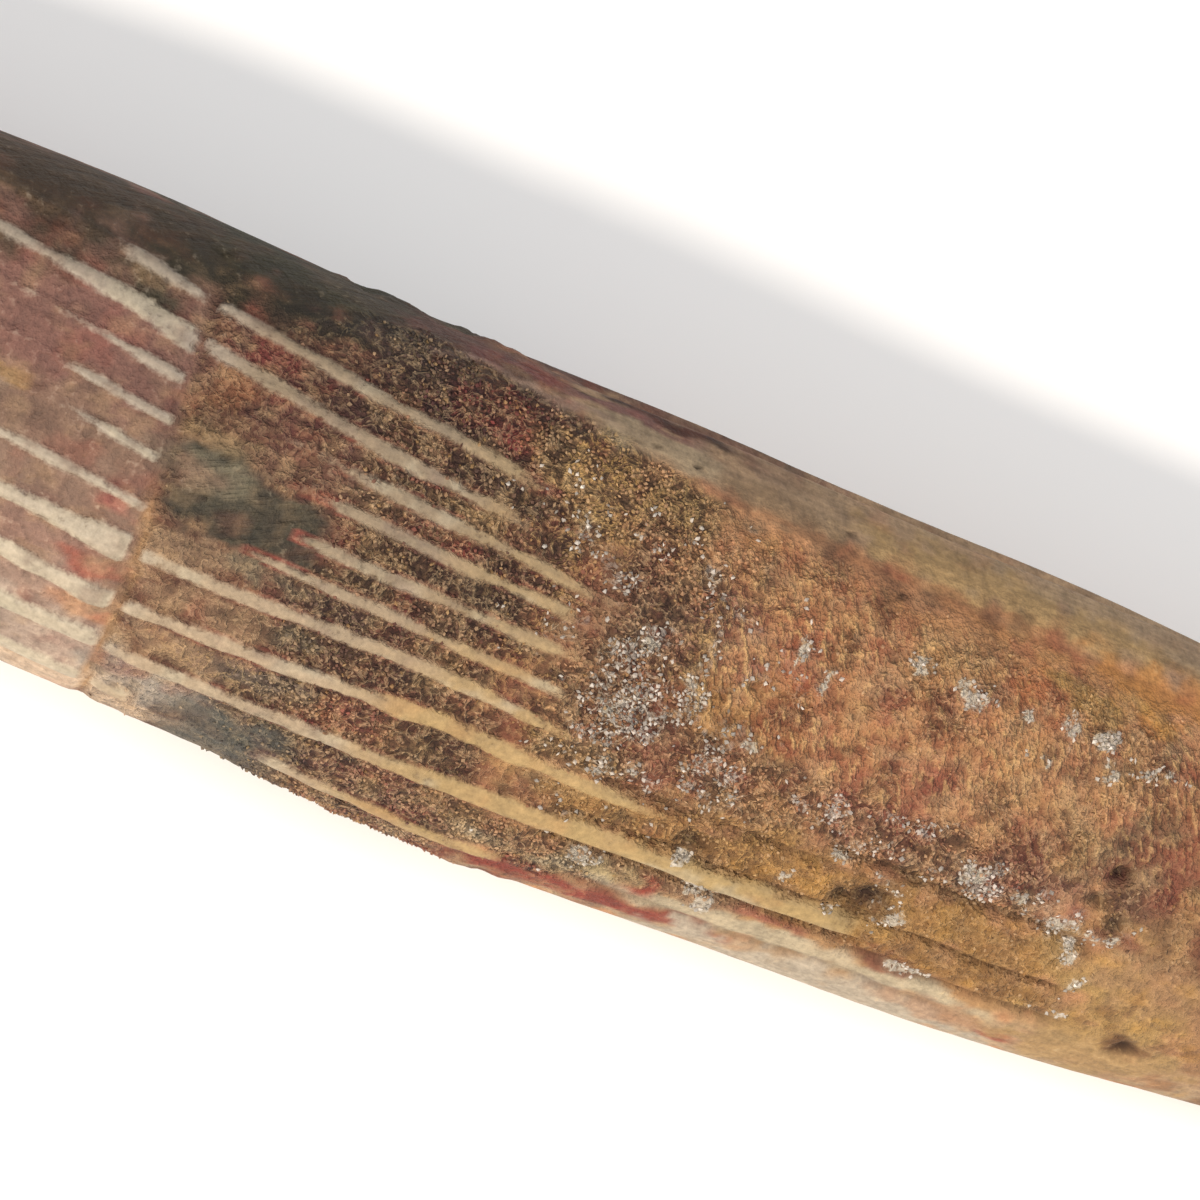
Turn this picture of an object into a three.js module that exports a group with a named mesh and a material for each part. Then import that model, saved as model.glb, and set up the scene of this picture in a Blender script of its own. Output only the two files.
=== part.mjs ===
// A long fossil fin spine lying on its side, in millimetres: a ribbed blade that runs out into a smooth
// root with a furrow along its back edge. X runs from the worn tip to the broken root, Y from the keeled
// front edge to the back edge, and Z is up. The whole spine is one solid.
import * as THREE from 'three';
import { mergeVertices } from 'three/addons/utils/BufferGeometryUtils.js';

const body = {
  tipX: -112, // the worn tip
  rootX: 108, // the broken end of the root
  deepestX: 12, // where the spine is deepest from front to back
  halfDepth: 13.9, // front to back there
  halfThickness: 8.7, // side to side there
  backFullness: 0.28, // how much squarer the back half of the section is than an ellipse
  frontThinning: 0.16, // how much thinner the section is towards the front
  roll: THREE.MathUtils.degToRad(7), // the back edge lies higher than the front
};
const taper = { tipReach: 134, tipPower: 2.5, tipExponent: 1.35, rootReach: 114, rootPower: 2.4, rootExponent: 0.75 };
const bow = { tip: 19, tipPower: 2.9, root: 7, rootPower: 2.4 }; // how far each end curves towards the back
const rest = { wornDepth: 0.6, tipLift: 1.0, rootLift: 0.8, liftPower: 6 }; // the flat worn on the underside
const rib = { width: 0.95, relief: 0.45, runOut: 5, firstX: -108, tipRunOut: 14 };
const wear = { height: 0.13, length: 9, fineLength: 5.3 }; // low unevenness of the skin
const glueLine = { x: -14.6, slant: 3.6, halfWidth: 1.0 }; // where the blade broke and was joined again
const ribEnd = { x: 8 }; // where the ribs of the middle of the blade stop
const furrow = { startX: 2, runIn: 16, lip: 0.92, wall: 0.95, depth: 2.4, lipHeight: 0.35 };
const valley = { x: 52, halfLength: 34, share: 0.79, halfShare: 0.09, depth: 0.6 }; // beside the root's back rim
const rootEnd = { recess: 2.4, wallShare: 0.62, ragged: 1.1 };
const tipDome = 0.5;

// One row for each rib: its share of the way round from front keel to back edge at the glue line, the
// same share where the ribs end, and how far along the spine it runs.
const upperRibs = [
  [0.091, 0.091, 20],
  [0.207, 0.205, 23],
  [0.301, 0.296, 17],
  [0.379, 0.369, 12],
  [0.446, 0.429, 10],
  [0.512, 0.486, 9.5],
  [0.579, 0.541, 8.5],
  [0.633, 0.583, 8.5],
  [0.697, 0.631, 8],
  [0.763, 0.680, 4.5],
];
const lowerRibs = upperRibs.map(([atGlue, atEnd, endX], i) => {
  const shift = 0.006 * Math.sin(2.3 * i + 1); // the two sides never match rib for rib
  return [atGlue + shift, atEnd + shift, endX + 2.5 * Math.sin(1.7 * i)];
});

const rings = [
  -112, -111, -109.3, ...steps(-107, -32, 17), ...steps(-28, -18.6, 4), -16.9, -15.3, -13.9, -12.3,
  ...steps(-10, 30, 15), ...steps(34, 102, 17), 104.6, 106.6, 108,
];

function steps(from, to, count) {
  return Array.from({ length: count + 1 }, (_, i) => THREE.MathUtils.lerp(from, to, i / count));
}

// The half section from the front keel, over one side, to the back edge, at the deepest place.
class HalfSection extends THREE.Curve {
  getPoint(t, target = new THREE.Vector3()) {
    const back = -Math.cos(Math.PI * t);
    const fuller = back > 0 ? 1 + body.backFullness * (1 - back * back) : 1;
    const z = Math.sin(Math.PI * t) * (1 + body.frontThinning * back);
    return target.set(0, body.halfDepth * back * fuller, body.halfThickness * z);
  }
}
const halfSection = new HalfSection();
halfSection.arcLengthDivisions = 720;

function taperAt(x) {
  const toTip = THREE.MathUtils.clamp((body.deepestX - x) / taper.tipReach, 0, 1);
  const toRoot = THREE.MathUtils.clamp((x - body.deepestX) / taper.rootReach, 0, 1);
  const tipPart = (1 - toTip ** taper.tipPower) ** taper.tipExponent;
  return tipPart * (1 - toRoot ** taper.rootPower) ** taper.rootExponent;
}

function bowAt(x) {
  const toTip = THREE.MathUtils.clamp((body.deepestX - x) / taper.tipReach, 0, 1);
  const toRoot = THREE.MathUtils.clamp((x - body.deepestX) / taper.rootReach, 0, 1);
  return bow.tip * toTip ** bow.tipPower + bow.root * toRoot ** bow.rootPower;
}

function liftAt(x) {
  const share = Math.abs(x) / body.rootX;
  return (x < 0 ? rest.tipLift : rest.rootLift) * share ** rest.liftPower;
}

// Where a rib lies at x: the ribs fan out towards the tip and close up towards the root.
function ribShare([atGlue, atEnd], x) {
  const along = (x - glueLine.x) / (ribEnd.x - glueLine.x);
  const held = along < 0 ? Math.tanh(along / 1.2) * 1.2 : Math.tanh(along / 1.4) * 1.4;
  return THREE.MathUtils.lerp(atGlue, atEnd, held);
}

function ribStrength([, , endX], x, share) {
  const ending = 1 - THREE.MathUtils.smoothstep(x, endX - rib.runOut / 2, endX + rib.runOut / 2);
  const starting = THREE.MathUtils.smoothstep(x, rib.firstX, rib.firstX + rib.tipRunOut);
  const fromGlue = Math.abs(x - glueLine.x + glueLine.slant * (share - 0.45));
  const acrossGlue = THREE.MathUtils.smoothstep(fromGlue, 0.4 * glueLine.halfWidth, 1.6 * glueLine.halfWidth);
  return ending * starting * acrossGlue;
}

// The columns of one side at x, from the first column off the keel to the last one before the back edge.
function sideColumns(ribRows, x) {
  const halfRib = rib.width / 2 / (halfSection.getLength() * taperAt(x));
  const middles = ribRows.map((row) => ribShare(row, x));
  const columns = [];
  middles.forEach((middle, i) => {
    const before = middles[i - 1] ?? 0;
    const after = middles[i + 1] ?? furrow.lip;
    const half = Math.min(halfRib, 0.25 * Math.min(middle - before, after - middle));
    const raised = rib.relief * ribStrength(ribRows[i], x, middle);
    columns.push({ share: (before + middle) / 2, raised: 0 });
    columns.push({ share: middle - half, raised }, { share: middle + half, raised });
  });
  const last = middles.at(-1);
  for (const part of [0.27, 0.5, 0.76]) {
    columns.push({ share: THREE.MathUtils.lerp(last, furrow.lip, part), raised: 0 });
  }
  const open = furrowOpenness(x);
  columns.push({ share: furrow.lip, raised: furrow.lipHeight * open });
  columns.push({ share: furrow.wall, raised: -0.7 * furrow.depth * open });
  return columns;
}

function furrowOpenness(x) {
  return THREE.MathUtils.smoothstep(x, furrow.startX, furrow.startX + furrow.runIn) * Math.sqrt(taperAt(x));
}

// How far the skin stands above or below the plain section for reasons other than the ribs.
function reliefAt(x, share) {
  const fromGlue = Math.abs(x - glueLine.x + glueLine.slant * (share - 0.45));
  const glueDip = -0.25 * Math.exp(-((fromGlue / glueLine.halfWidth) ** 2));
  const along = Math.exp(-(((x - valley.x) / valley.halfLength) ** 2));
  const across = Math.exp(-(((share - valley.share) / valley.halfShare) ** 2));
  const slow = Math.sin(x / wear.length + 4 * share);
  const unevenness = wear.height * (slow + Math.sin(x / wear.fineLength - 7 * share));
  return glueDip - valley.depth * along * across + unevenness;
}

// A point on the skin, pushed out along the section's normal by its relief, in the section's plane.
function skinPoint(x, side, share, raised) {
  const point = halfSection.getPointAt(share);
  const tangent = halfSection.getTangentAt(share);
  const scale = taperAt(x);
  const relief = (raised + reliefAt(x, share)) * Math.min(1, 2.5 * scale);
  const y = point.y * scale - tangent.z * relief;
  const z = side * (point.z * scale + tangent.y * relief);
  return new THREE.Vector2(y, z).rotateAround(new THREE.Vector2(), body.roll);
}

// All columns of a ring in order: keel, upper side, back edge, lower side back to the keel.
function ringPoints(x) {
  const keel = rib.relief * 0.6 * ribStrength([0, 0, ribEnd.x + 12], x, 0);
  const upper = sideColumns(upperRibs, x).map((c) => skinPoint(x, 1, c.share, c.raised));
  const lower = sideColumns(lowerRibs, x).map((c) => skinPoint(x, -1, c.share, c.raised));
  const back = skinPoint(x, 1, 1, -furrow.depth * furrowOpenness(x));
  return [skinPoint(x, 1, 0, keel), ...upper, back, ...lower.reverse()];
}

// The lathe's profile holds each ring's place along the spine as its height, and how much of the
// section it spans as its radius. It runs from the root, a shallow broken recess, to the tip, a low dome,
// so that the faces point outwards.
const profile = [
  new THREE.Vector2(0, body.rootX - rootEnd.recess),
  new THREE.Vector2(rootEnd.wallShare, body.rootX - 0.6 * rootEnd.recess),
  ...rings.map((x) => new THREE.Vector2(1, x)).reverse(),
  new THREE.Vector2(0, body.tipX - tipDome),
];

function spineGeometry() {
  const columnCount = ringPoints(0).length;
  const lathe = new THREE.LatheGeometry(profile, columnCount);
  const position = lathe.getAttribute('position');
  const ringAt = new Map(rings.map((x) => [x, ringPoints(x)]));
  for (let column = 0; column <= columnCount; column += 1) {
    profile.forEach(({ x: span, y: x }, row) => {
      const ring = ringAt.get(THREE.MathUtils.clamp(x, body.tipX, body.rootX)) ?? ringAt.get(body.rootX);
      const skin = ring[column % columnCount];
      const atRoot = x === body.rootX && span === 1;
      const round = (2 * Math.PI * column) / columnCount;
      const chip = atRoot ? rootEnd.ragged * Math.sin(7 * round) * Math.sin(2 * round + 1) : 0;
      const heightOfAxis = body.halfThickness * taperAt(x) - rest.wornDepth + liftAt(x);
      const z = Math.max(0, skin.y * span + heightOfAxis);
      position.setXYZ(column * profile.length + row, x + chip, skin.x * span + bowAt(x), z);
    });
  }
  lathe.deleteAttribute('normal');
  lathe.deleteAttribute('uv');
  return withoutEmptyFaces(mergeVertices(lathe, 1e-4));
}

// The lathe leaves faces with no area where it meets its axis.
function withoutEmptyFaces(geometry) {
  const index = geometry.getIndex().array;
  const kept = [];
  for (let i = 0; i < index.length; i += 3) {
    const [a, b, c] = index.slice(i, i + 3);
    if (a !== b && b !== c && c !== a) {
      kept.push(a, b, c);
    }
  }
  geometry.setIndex(kept);
  return geometry;
}

// The origin is the middle of the spine's outline, on the surface that it lies on.
function centred(geometry) {
  geometry.computeBoundingBox();
  const middle = geometry.boundingBox.getCenter(new THREE.Vector3());
  geometry.translate(-middle.x, -middle.y, -geometry.boundingBox.min.z);
  geometry.computeVertexNormals();
  return geometry;
}

const stone = new THREE.MeshStandardMaterial({ color: 0x8f6a48, roughness: 0.75, metalness: 0 });
const spine = new THREE.Mesh(centred(spineGeometry()), stone);
spine.name = 'spine';

const fossil = new THREE.Group();
fossil.add(spine);
export default fossil;
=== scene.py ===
import math
import bpy
import numpy as np
from mathutils import Matrix, Vector


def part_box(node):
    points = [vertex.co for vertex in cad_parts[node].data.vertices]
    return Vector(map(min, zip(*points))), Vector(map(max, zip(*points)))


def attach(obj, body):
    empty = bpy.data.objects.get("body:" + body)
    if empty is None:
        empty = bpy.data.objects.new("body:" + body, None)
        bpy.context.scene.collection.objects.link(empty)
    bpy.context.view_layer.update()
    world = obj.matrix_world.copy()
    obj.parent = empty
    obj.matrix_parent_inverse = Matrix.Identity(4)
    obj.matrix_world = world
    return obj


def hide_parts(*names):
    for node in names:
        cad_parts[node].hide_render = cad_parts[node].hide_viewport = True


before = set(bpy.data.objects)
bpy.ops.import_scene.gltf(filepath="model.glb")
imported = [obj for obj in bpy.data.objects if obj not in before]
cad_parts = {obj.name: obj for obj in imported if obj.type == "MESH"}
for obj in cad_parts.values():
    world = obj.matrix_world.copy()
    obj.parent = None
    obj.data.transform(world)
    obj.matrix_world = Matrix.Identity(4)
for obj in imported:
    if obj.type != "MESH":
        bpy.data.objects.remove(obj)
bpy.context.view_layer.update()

mm = 0.001


def deselectAll():
    if bpy.context.object and bpy.context.object.mode != "OBJECT":
        bpy.ops.object.mode_set(mode="OBJECT")
    bpy.ops.object.select_all(action="DESELECT")


def pick(piece):
    deselectAll()
    piece.select_set(True)
    bpy.context.view_layer.objects.active = piece


def hexColour(code):
    parts = [int(code[i:i + 2], 16) / 255 for i in (1, 3, 5)]
    return np.array([p / 12.92 if p <= 0.04045 else ((p + 0.055) / 1.055) ** 2.4 for p in parts])


def smooth(low, high, value):
    part = np.clip((value - low) / (high - low), 0, 1)
    return part * part * (3 - 2 * part)


def hashed(cells, seed):
    mixed = cells[:, 0] * 73856093 ^ cells[:, 1] * 19349663 ^ cells[:, 2] * 83492791 ^ seed * 26544357
    mixed = (mixed ^ (mixed >> 13)) * 1274126177 & 0x7FFFFFFF
    return ((mixed ^ (mixed >> 16)) & 0xFFFF) / 0xFFFF


def softNoise(points, cell, seed):  # smooth field from -1 to 1 with lumps about one cell across
    spot = points / cell
    base = np.floor(spot).astype(np.int64)
    part = spot - base
    part = part * part * (3 - 2 * part)
    total = np.zeros(len(points))
    for corner in range(8):
        step = np.array([corner & 1, corner >> 1 & 1, corner >> 2 & 1])
        weight = np.prod(np.where(step, part, 1 - part), axis=1)
        total += weight * hashed(base + step, seed)
    return total * 2 - 1


def roughNoise(points, cell, seed, octaves=3):
    total = sum(softNoise(points, cell / 2 ** i, seed + i) / 2 ** i for i in range(octaves))
    return total / sum(1 / 2 ** i for i in range(octaves))


# The form, in mm: the same one as the solid, with the detail that the eye sees close up.

spineForm = {
    "tipX": -112, "rootX": 108, "deepestX": 12,
    "halfDepth": 13.9, "halfThickness": 8.7,
    "backFullness": 0.28, "frontThinning": 0.16, "rollDeg": 7,
    "tipReach": 134, "tipPower": 2.5, "tipExponent": 1.35,
    "rootReach": 114, "rootPower": 2.4, "rootExponent": 0.75,
    "tipBow": 19, "tipBowPower": 2.9, "rootBow": 7, "rootBowPower": 2.4,
    "wornDepth": 0.6, "tipLift": 1.0, "rootLift": 0.8, "liftPower": 6,
    "wearHeight": 0.13, "wearLength": 9, "fineWearLength": 5.3,
    "columns": 320, "upperColumns": 0.62,  # more of them on the side that faces up
    "cuts": (16, 16), "closeRings": (-29, 54), "closeStep": 0.37, "wideStep": 1.75,
    "tipInsets": (0.2, 0.25, 0.25), "rootInsets": (0.05, 0.05, 0.1, 0.15, 0.2, 0.2),  # on a radius of 1
    "tipDome": 0.5, "rootRecess": 2.4,
}

# Where a rib runs: (x, share of the way round from keel to back edge), how wide its flat top is in mm at
# an x, and how clearly its enamel shows there.
ribs = [
    {
        "path": [(-108, 0.10), (-30, 0.112), (-18, 0.115), (-11, 0.113), (-3, 0.105), (0, 0.100),
            (9, 0.098), (14, 0.112), (19, 0.122)],
        "width": [(-30, 0.9), (-12, 0.9), (0, 0.8), (10, 0.8), (19, 0.5)],
        "shows": [(-40, 0.8), (-12, 0.7), (-10, 0.0), (-4, 0.1), (-2, 0.8), (9, 0.8), (13, 0.2)],
        "endX": 13,
    },
    {
        "path": [(-108, 0.215), (-30, 0.205), (-19, 0.203), (-14.5, 0.209), (-13, 0.200), (-8, 0.204),
            (0, 0.205), (5, 0.21), (10, 0.217), (15, 0.222), (22, 0.224), (33, 0.227), (45, 0.24)],
        "width": [(-30, 0.8), (-20, 0.8), (-14.5, 1.3), (-13, 0.6), (-5, 0.7), (5, 1.0), (14, 1.5),
            (32, 1.4), (34, 0.7)],
        "shows": [(-14, 1.0), (-13, 0.55), (-10, 0.75), (-5, 0.95), (14, 1.0), (31, 0.8), (33, 0.2)],
        "endX": 32.5,
    },
    {
        "path": [(-108, 0.31), (-30, 0.292), (-20.5, 0.29), (-15.3, 0.28), (-13.5, 0.287), (-5, 0.297),
            (0, 0.305), (5, 0.312), (15, 0.304), (22, 0.304)],
        "width": [(-30, 0.8), (-20, 0.9), (-15.5, 1.4), (-13.5, 0.6), (-5, 0.8), (5, 1.0), (14, 0.7),
            (20, 0.3)],
        "shows": [(-14.5, 1.0), (-13, 0.75), (-9, 0.85), (-5, 0.95), (14, 1.0), (21, 0.3)],
        "endX": 18,
    },
    {
        "path": [(-108, 0.395), (-30, 0.375), (-20, 0.376), (-15, 0.374), (-13.5, 0.375), (-5, 0.383),
            (0, 0.387), (5, 0.382), (11, 0.372)],
        "width": [(-30, 0.5), (-22, 0.7), (-18, 1.3), (-15, 1.9), (-13.5, 0.5), (-5, 0.7), (5, 0.8),
            (11, 0.5)],
        "shows": [(-14.5, 1.0), (-13, 0.6), (-8, 0.9), (8, 1.0), (12, 0.5)],
        "endX": 11.5,
    },
    {
        "path": [(-108, 0.475), (-30, 0.462), (-23, 0.458), (-16, 0.447), (-14, 0.442), (-9, 0.447),
            (0, 0.44), (10, 0.428)],
        "width": [(-30, 0.3), (-23, 0.3), (-16, 0.4), (-8, 0.3), (0, 0.5), (9, 0.6)],
        "shows": [(-30, 0.5), (-20, 0.7), (-15.5, 0.7), (-14, 0.1), (-10, 0.1), (-8, 0.7), (0, 1.0)],
        "endX": 10,
    },
    {
        "path": [(-108, 0.55), (-30, 0.545), (-20, 0.535), (-15.5, 0.518), (-14, 0.505), (-7, 0.497),
            (0, 0.492), (9.5, 0.487)],
        "width": [(-30, 0.15), (-20, 0.15), (-15.5, 0.3), (-6, 0.4), (0, 0.6), (9, 0.6)],
        "shows": [(-30, 0.3), (-21, 0.3), (-19, 0.8), (-15.6, 0.8), (-15, 0.0), (-8, 0.0), (-6, 0.6),
            (2, 0.8)],
        "endX": 9.7,
    },
    {
        "path": [(-108, 0.635), (-30, 0.61), (-25, 0.605), (-18, 0.584), (-15, 0.577), (-13, 0.57),
            (-6, 0.562), (0, 0.553), (9, 0.543)],
        "width": [(-30, 0.2), (-22, 0.2), (-18, 0.15), (-15, 0.25), (-6, 0.4), (0, 0.6), (9, 0.6)],
        "shows": [(-22, 0.3), (-20, 0.8), (-15.2, 0.9), (-14.6, 0.0), (-10, 0.1), (-8, 0.3), (-5, 0.8),
            (0, 1.0)],
        "endX": 9,
    },
    {
        "path": [(-108, 0.705), (-30, 0.68), (-24, 0.668), (-15.5, 0.64), (-14, 0.633), (-8, 0.617),
            (0, 0.603), (5, 0.594), (9, 0.583)],
        "width": [(-30, 0.2), (-23, 0.2), (-19, 0.2), (-15.7, 0.45), (-13, 0.3), (-5, 0.4), (1, 0.7),
            (9, 0.6)],
        "shows": [(-26, 0.3), (-21, 0.5), (-19, 1.0), (-15.5, 1.0), (-15, 0.0), (-12, 0.2), (-6, 0.45),
            (-2, 0.9)],
        "endX": 9.3,
    },
    {
        "path": [(-108, 0.785), (-30, 0.752), (-25, 0.735), (-20, 0.72), (-16, 0.70), (-14.7, 0.70),
            (-10, 0.682), (-5, 0.662), (0, 0.65), (3.5, 0.643)],
        "width": [(-30, 0.25), (-25, 0.35), (-21, 0.7), (-17, 1.1), (-15.6, 1.6), (-14.7, 0.7), (-8, 0.7),
            (0, 0.5)],
        "shows": [(-30, 0.5), (-26, 0.7), (-22, 1.0)],
        "endX": 3.7,
    },
    {
        "path": [(-108, 0.863), (-60, 0.85), (-30, 0.815), (-22, 0.795), (-16.5, 0.768), (-15.5, 0.765),
            (-10, 0.745), (-5, 0.727), (0, 0.715), (4, 0.70)],
        "width": [(-30, 0.3), (-20, 0.5), (-17.5, 0.7), (-16, 0.3), (-12, 0.6), (0, 0.5)],
        "shows": [(-30, 0.1), (-22, 0.3), (-19, 1.0), (-17, 0.8), (-16, 0.3), (-15, 0.9), (2, 1.0)],
        "endX": 4.3,
    },
]
ribForm = {
    "height": 0.26, "shoulder": 0.30, "topShare": 0.84, "runOut": 2.0, "startX": -108, "startRun": 14,
    "wobble": 0.13, "fineWobble": 0.05,  # how far the edges wander
}
hiddenSide = {"ribBack": 3, "ribShare": 0.008, "stainBack": 7.0}  # it never matches the side that shows
glueLine = {"x": -13.1, "slant": -3.4, "halfWidth": 0.34, "dip": 0.18}
furrow = {"startX": 2, "runIn": 16, "lip": 0.92, "lipHeight": 0.35, "lipWidth": 0.9, "depth": 2.4}
rimValley = {
    "startX": 16, "runIn": 18, "endX": 84, "runOut": 30, "share": 0.785, "halfWidth": 2.3, "depth": 0.65,
}
rimCrease = {"startX": 24, "runIn": 6, "share": 0.807, "halfWidth": 0.5, "depth": 0.12}

# Fine creases along the front of the root: x from and to, share, depth and half width in mm.
ledges = [
    (28, 45, 0.352, 0.50, 0.40), (14, 29, 0.324, 0.40, 0.35), (13, 45, 0.249, 0.45, 0.24),
    (13, 33, 0.200, 0.40, 0.35), (32, 46, 0.178, 0.40, 0.35), (15, 40, 0.122, 0.22, 0.40),
]

# Small hollows: x, share, radius and depth in mm.
pits = [
    (20.6, 0.275, 0.8, 0.7), (31.8, 0.285, 1.4, 1.1), (30.2, 0.275, 0.7, 0.5), (44.5, 0.485, 0.6, 1.1),
    (43.8, 0.43, 0.5, 0.5), (45.6, 0.40, 0.7, 0.4), (51.0, 0.17, 0.7, 0.6), (40.5, 0.42, 0.3, 0.3),
    (-1.0, 0.49, 0.3, 0.25), (22.0, 0.84, 0.25, 0.25), (12.4, 0.837, 0.22, 0.25), (9.8, 0.84, 0.16, 0.2),
    (24.5, 0.575, 0.25, 0.25), (5.8, 0.872, 0.2, 0.2), (13.0, 0.85, 0.2, 0.2), (26.0, 0.77, 0.3, 0.2),
]


def alongTaper(x):
    toTip = np.clip((spineForm["deepestX"] - x) / spineForm["tipReach"], 0, 1)
    toRoot = np.clip((x - spineForm["deepestX"]) / spineForm["rootReach"], 0, 1)
    return toTip, toRoot


def taperAt(x):
    toTip, toRoot = alongTaper(x)
    tipPart = (1 - toTip ** spineForm["tipPower"]) ** spineForm["tipExponent"]
    return tipPart * (1 - toRoot ** spineForm["rootPower"]) ** spineForm["rootExponent"]


def bowAt(x):
    toTip, toRoot = alongTaper(x)
    tipPart = spineForm["tipBow"] * toTip ** spineForm["tipBowPower"]
    return tipPart + spineForm["rootBow"] * toRoot ** spineForm["rootBowPower"]


def liftAt(x):
    lift = np.where(x < 0, spineForm["tipLift"], spineForm["rootLift"])
    return lift * (np.abs(x) / spineForm["rootX"]) ** spineForm["liftPower"]


def halfSection():  # the half section by its share of the way round: across, up and the way out
    turn = np.linspace(0, math.pi, 1441)
    back = -np.cos(turn)
    fuller = np.where(back > 0, 1 + spineForm["backFullness"] * (1 - back ** 2), 1)
    across = spineForm["halfDepth"] * back * fuller
    up = spineForm["halfThickness"] * np.sin(turn) * (1 + spineForm["frontThinning"] * back)
    length = np.concatenate([[0], np.cumsum(np.hypot(np.diff(across), np.diff(up)))])
    share = length / length[-1]
    slopeAcross, slopeUp = np.gradient(across, share), np.gradient(up, share)
    size = np.hypot(slopeAcross, slopeUp)
    return {
        "share": share, "across": across, "up": up, "length": length[-1],
        "outAcross": -slopeUp / size, "outUp": slopeAcross / size,
    }


section = halfSection()


def ribSpot(rib, x, side):
    ownX = np.where(side > 0, x, x - hiddenSide["ribBack"])
    path, width, shows = (np.array(rib[key]) for key in ("path", "width", "shows"))
    middle = np.interp(ownX, *path.T) + np.where(side > 0, 0, hiddenSide["ribShare"])
    return middle, np.interp(ownX, *width.T), np.interp(ownX, *shows.T)


def ribRelief(skin):  # height of the ribs over the grooves and how much enamel shows
    height, enamel = np.zeros(len(skin["x"])), np.zeros(len(skin["x"]))
    wobble = ribForm["wobble"] * softNoise(skin["flat"], 2.2, 11)
    wobble = wobble + ribForm["fineWobble"] * softNoise(skin["flat"], 0.7, 12)
    ragged = softNoise(skin["flat"], 1.3, 13)
    for number, rib in enumerate(ribs):
        middle, width, shows = ribSpot(rib, skin["x"], skin["side"])
        reach = np.abs(skin["share"] - middle) * section["length"] * skin["taper"] + wobble
        halfTop = width / 2 * ribForm["topShare"] * (1 + 0.18 * ragged) * np.minimum(1, 1.6 * skin["taper"])
        top = smooth(halfTop + ribForm["shoulder"], halfTop - 0.1, reach)
        ending = smooth(rib["endX"] + ribForm["runOut"], rib["endX"] - ribForm["runOut"], skin["x"] + ragged)
        starting = smooth(ribForm["startX"], ribForm["startX"] + ribForm["startRun"], skin["x"])
        chipped = smooth(-0.75, -0.45, softNoise(skin["flat"] * np.array([0.35, 1, 1]), 1.1, 30 + number))
        present = top * ending * starting
        height = np.maximum(height, present * (0.45 + 0.55 * shows) * (0.5 + 0.5 * chipped))
        shown = shows * (0.75 + 0.25 * chipped) + 0.12 * ragged
        enamel = np.maximum(enamel, present * smooth(0.15, 0.75, shown))
    return ribForm["height"] * height, enamel


def glueDistance(x, share):
    return np.abs(x - glueLine["x"] - glueLine["slant"] * share)


def furrowOpenness(x):
    return smooth(furrow["startX"], furrow["startX"] + furrow["runIn"], x) * np.sqrt(taperAt(x))


def creaseDepths(skin, fading=1.0):  # each crease, as its depth at every vertex
    wander = 0.2 * softNoise(skin["flat"], 2.0, 14)
    for startX, endX, ledgeShare, depth, halfWidth in ledges:
        across = ((skin["share"] - ledgeShare) * section["length"] + wander) / halfWidth
        yield (skin["side"] > 0) * depth * band(skin["x"], startX, endX, 1.0) * np.exp(-across ** 2 * fading)


def pitHollows(skin, fading=1.0):  # each pit, as its depth and how far it reaches at every vertex
    ragged = 1 + 0.35 * softNoise(skin["flat"], 0.5, 60)
    for pitX, pitShare, radius, depth in pits:
        away = np.hypot(skin["x"] - pitX, (skin["share"] - pitShare) * section["length"])
        yield depth, (skin["side"] > 0) * np.exp(-(away * ragged / radius) ** 2 * fading)


def skinRelief(skin):  # height over the plain form in mm, and how much enamel shows
    x, share, taper = skin["x"], skin["share"], skin["taper"]
    height, enamel = ribRelief(skin)
    nearGlue = np.exp(-(glueDistance(x, share) / glueLine["halfWidth"] / 1.4) ** 2) * (share < 0.86)
    height = height * (1 - 0.8 * nearGlue) - glueLine["dip"] * nearGlue
    enamel = enamel * (1 - smooth(0.3, 0.7, nearGlue))
    wear = np.sin(x / spineForm["wearLength"] + 4 * share)
    wear += np.sin(x / spineForm["fineWearLength"] - 7 * share)
    height += spineForm["wearHeight"] * wear
    along = smooth(rimValley["startX"], rimValley["startX"] + rimValley["runIn"], x)
    along *= 1 - smooth(rimValley["endX"] - rimValley["runOut"], rimValley["endX"], x)
    across = (share - rimValley["share"]) * section["length"] * taper / rimValley["halfWidth"]
    height -= rimValley["depth"] * along * np.exp(-across ** 2)
    across = (share - rimCrease["share"]) * section["length"] / rimCrease["halfWidth"]
    creased = smooth(rimCrease["startX"], rimCrease["startX"] + rimCrease["runIn"], x)
    height -= rimCrease["depth"] * creased * along * np.exp(-across ** 2)
    openness = furrowOpenness(x)
    fromBack = (1 - share) * section["length"]
    lipAt = (1 - furrow["lip"]) * section["length"]
    height += openness * furrow["lipHeight"] * np.exp(-((fromBack - lipAt) / furrow["lipWidth"]) ** 2)
    height -= openness * furrow["depth"] * smooth(lipAt - 0.2, 0.3 * lipAt, fromBack)
    for depth in creaseDepths(skin):
        height -= depth
    for depth, hollow in pitHollows(skin):
        height -= depth * hollow
    return height, enamel


def band(value, low, high, soft):
    return smooth(low - soft, low + soft, value) * (1 - smooth(high - soft, high + soft, value))


# Where the kinds of surface lie: x from, to and how soft its ends are, then the same by share.
surfaces = {
    "darkPatch": ((-14.5, -5.5, 1.2), (0.45, 0.565, 0.012)),
    "crystals": ((9.5, 16.5, 1.5), (0.32, 0.71, 0.02)),
    "redSpeckle": ((16, 43, 3), (0.345, 0.46, 0.02)),
    "face": ((13.5, 70, 2.5), (0.36, 0.755, 0.03)),
}

# Patches of hard sand past the ends of the ribs: how sandy, and where.
sandPatches = [
    (0.6, (10, 26, 3), (0.16, 0.36, 0.02)), (1.0, (4, 15, 2), (0.66, 0.82, 0.02)),
    (1.0, (4, 17, 2), (0.11, 0.20, 0.01)), (0.35, (24, 46, 2), (0.185, 0.35, 0.01)),
]

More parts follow.
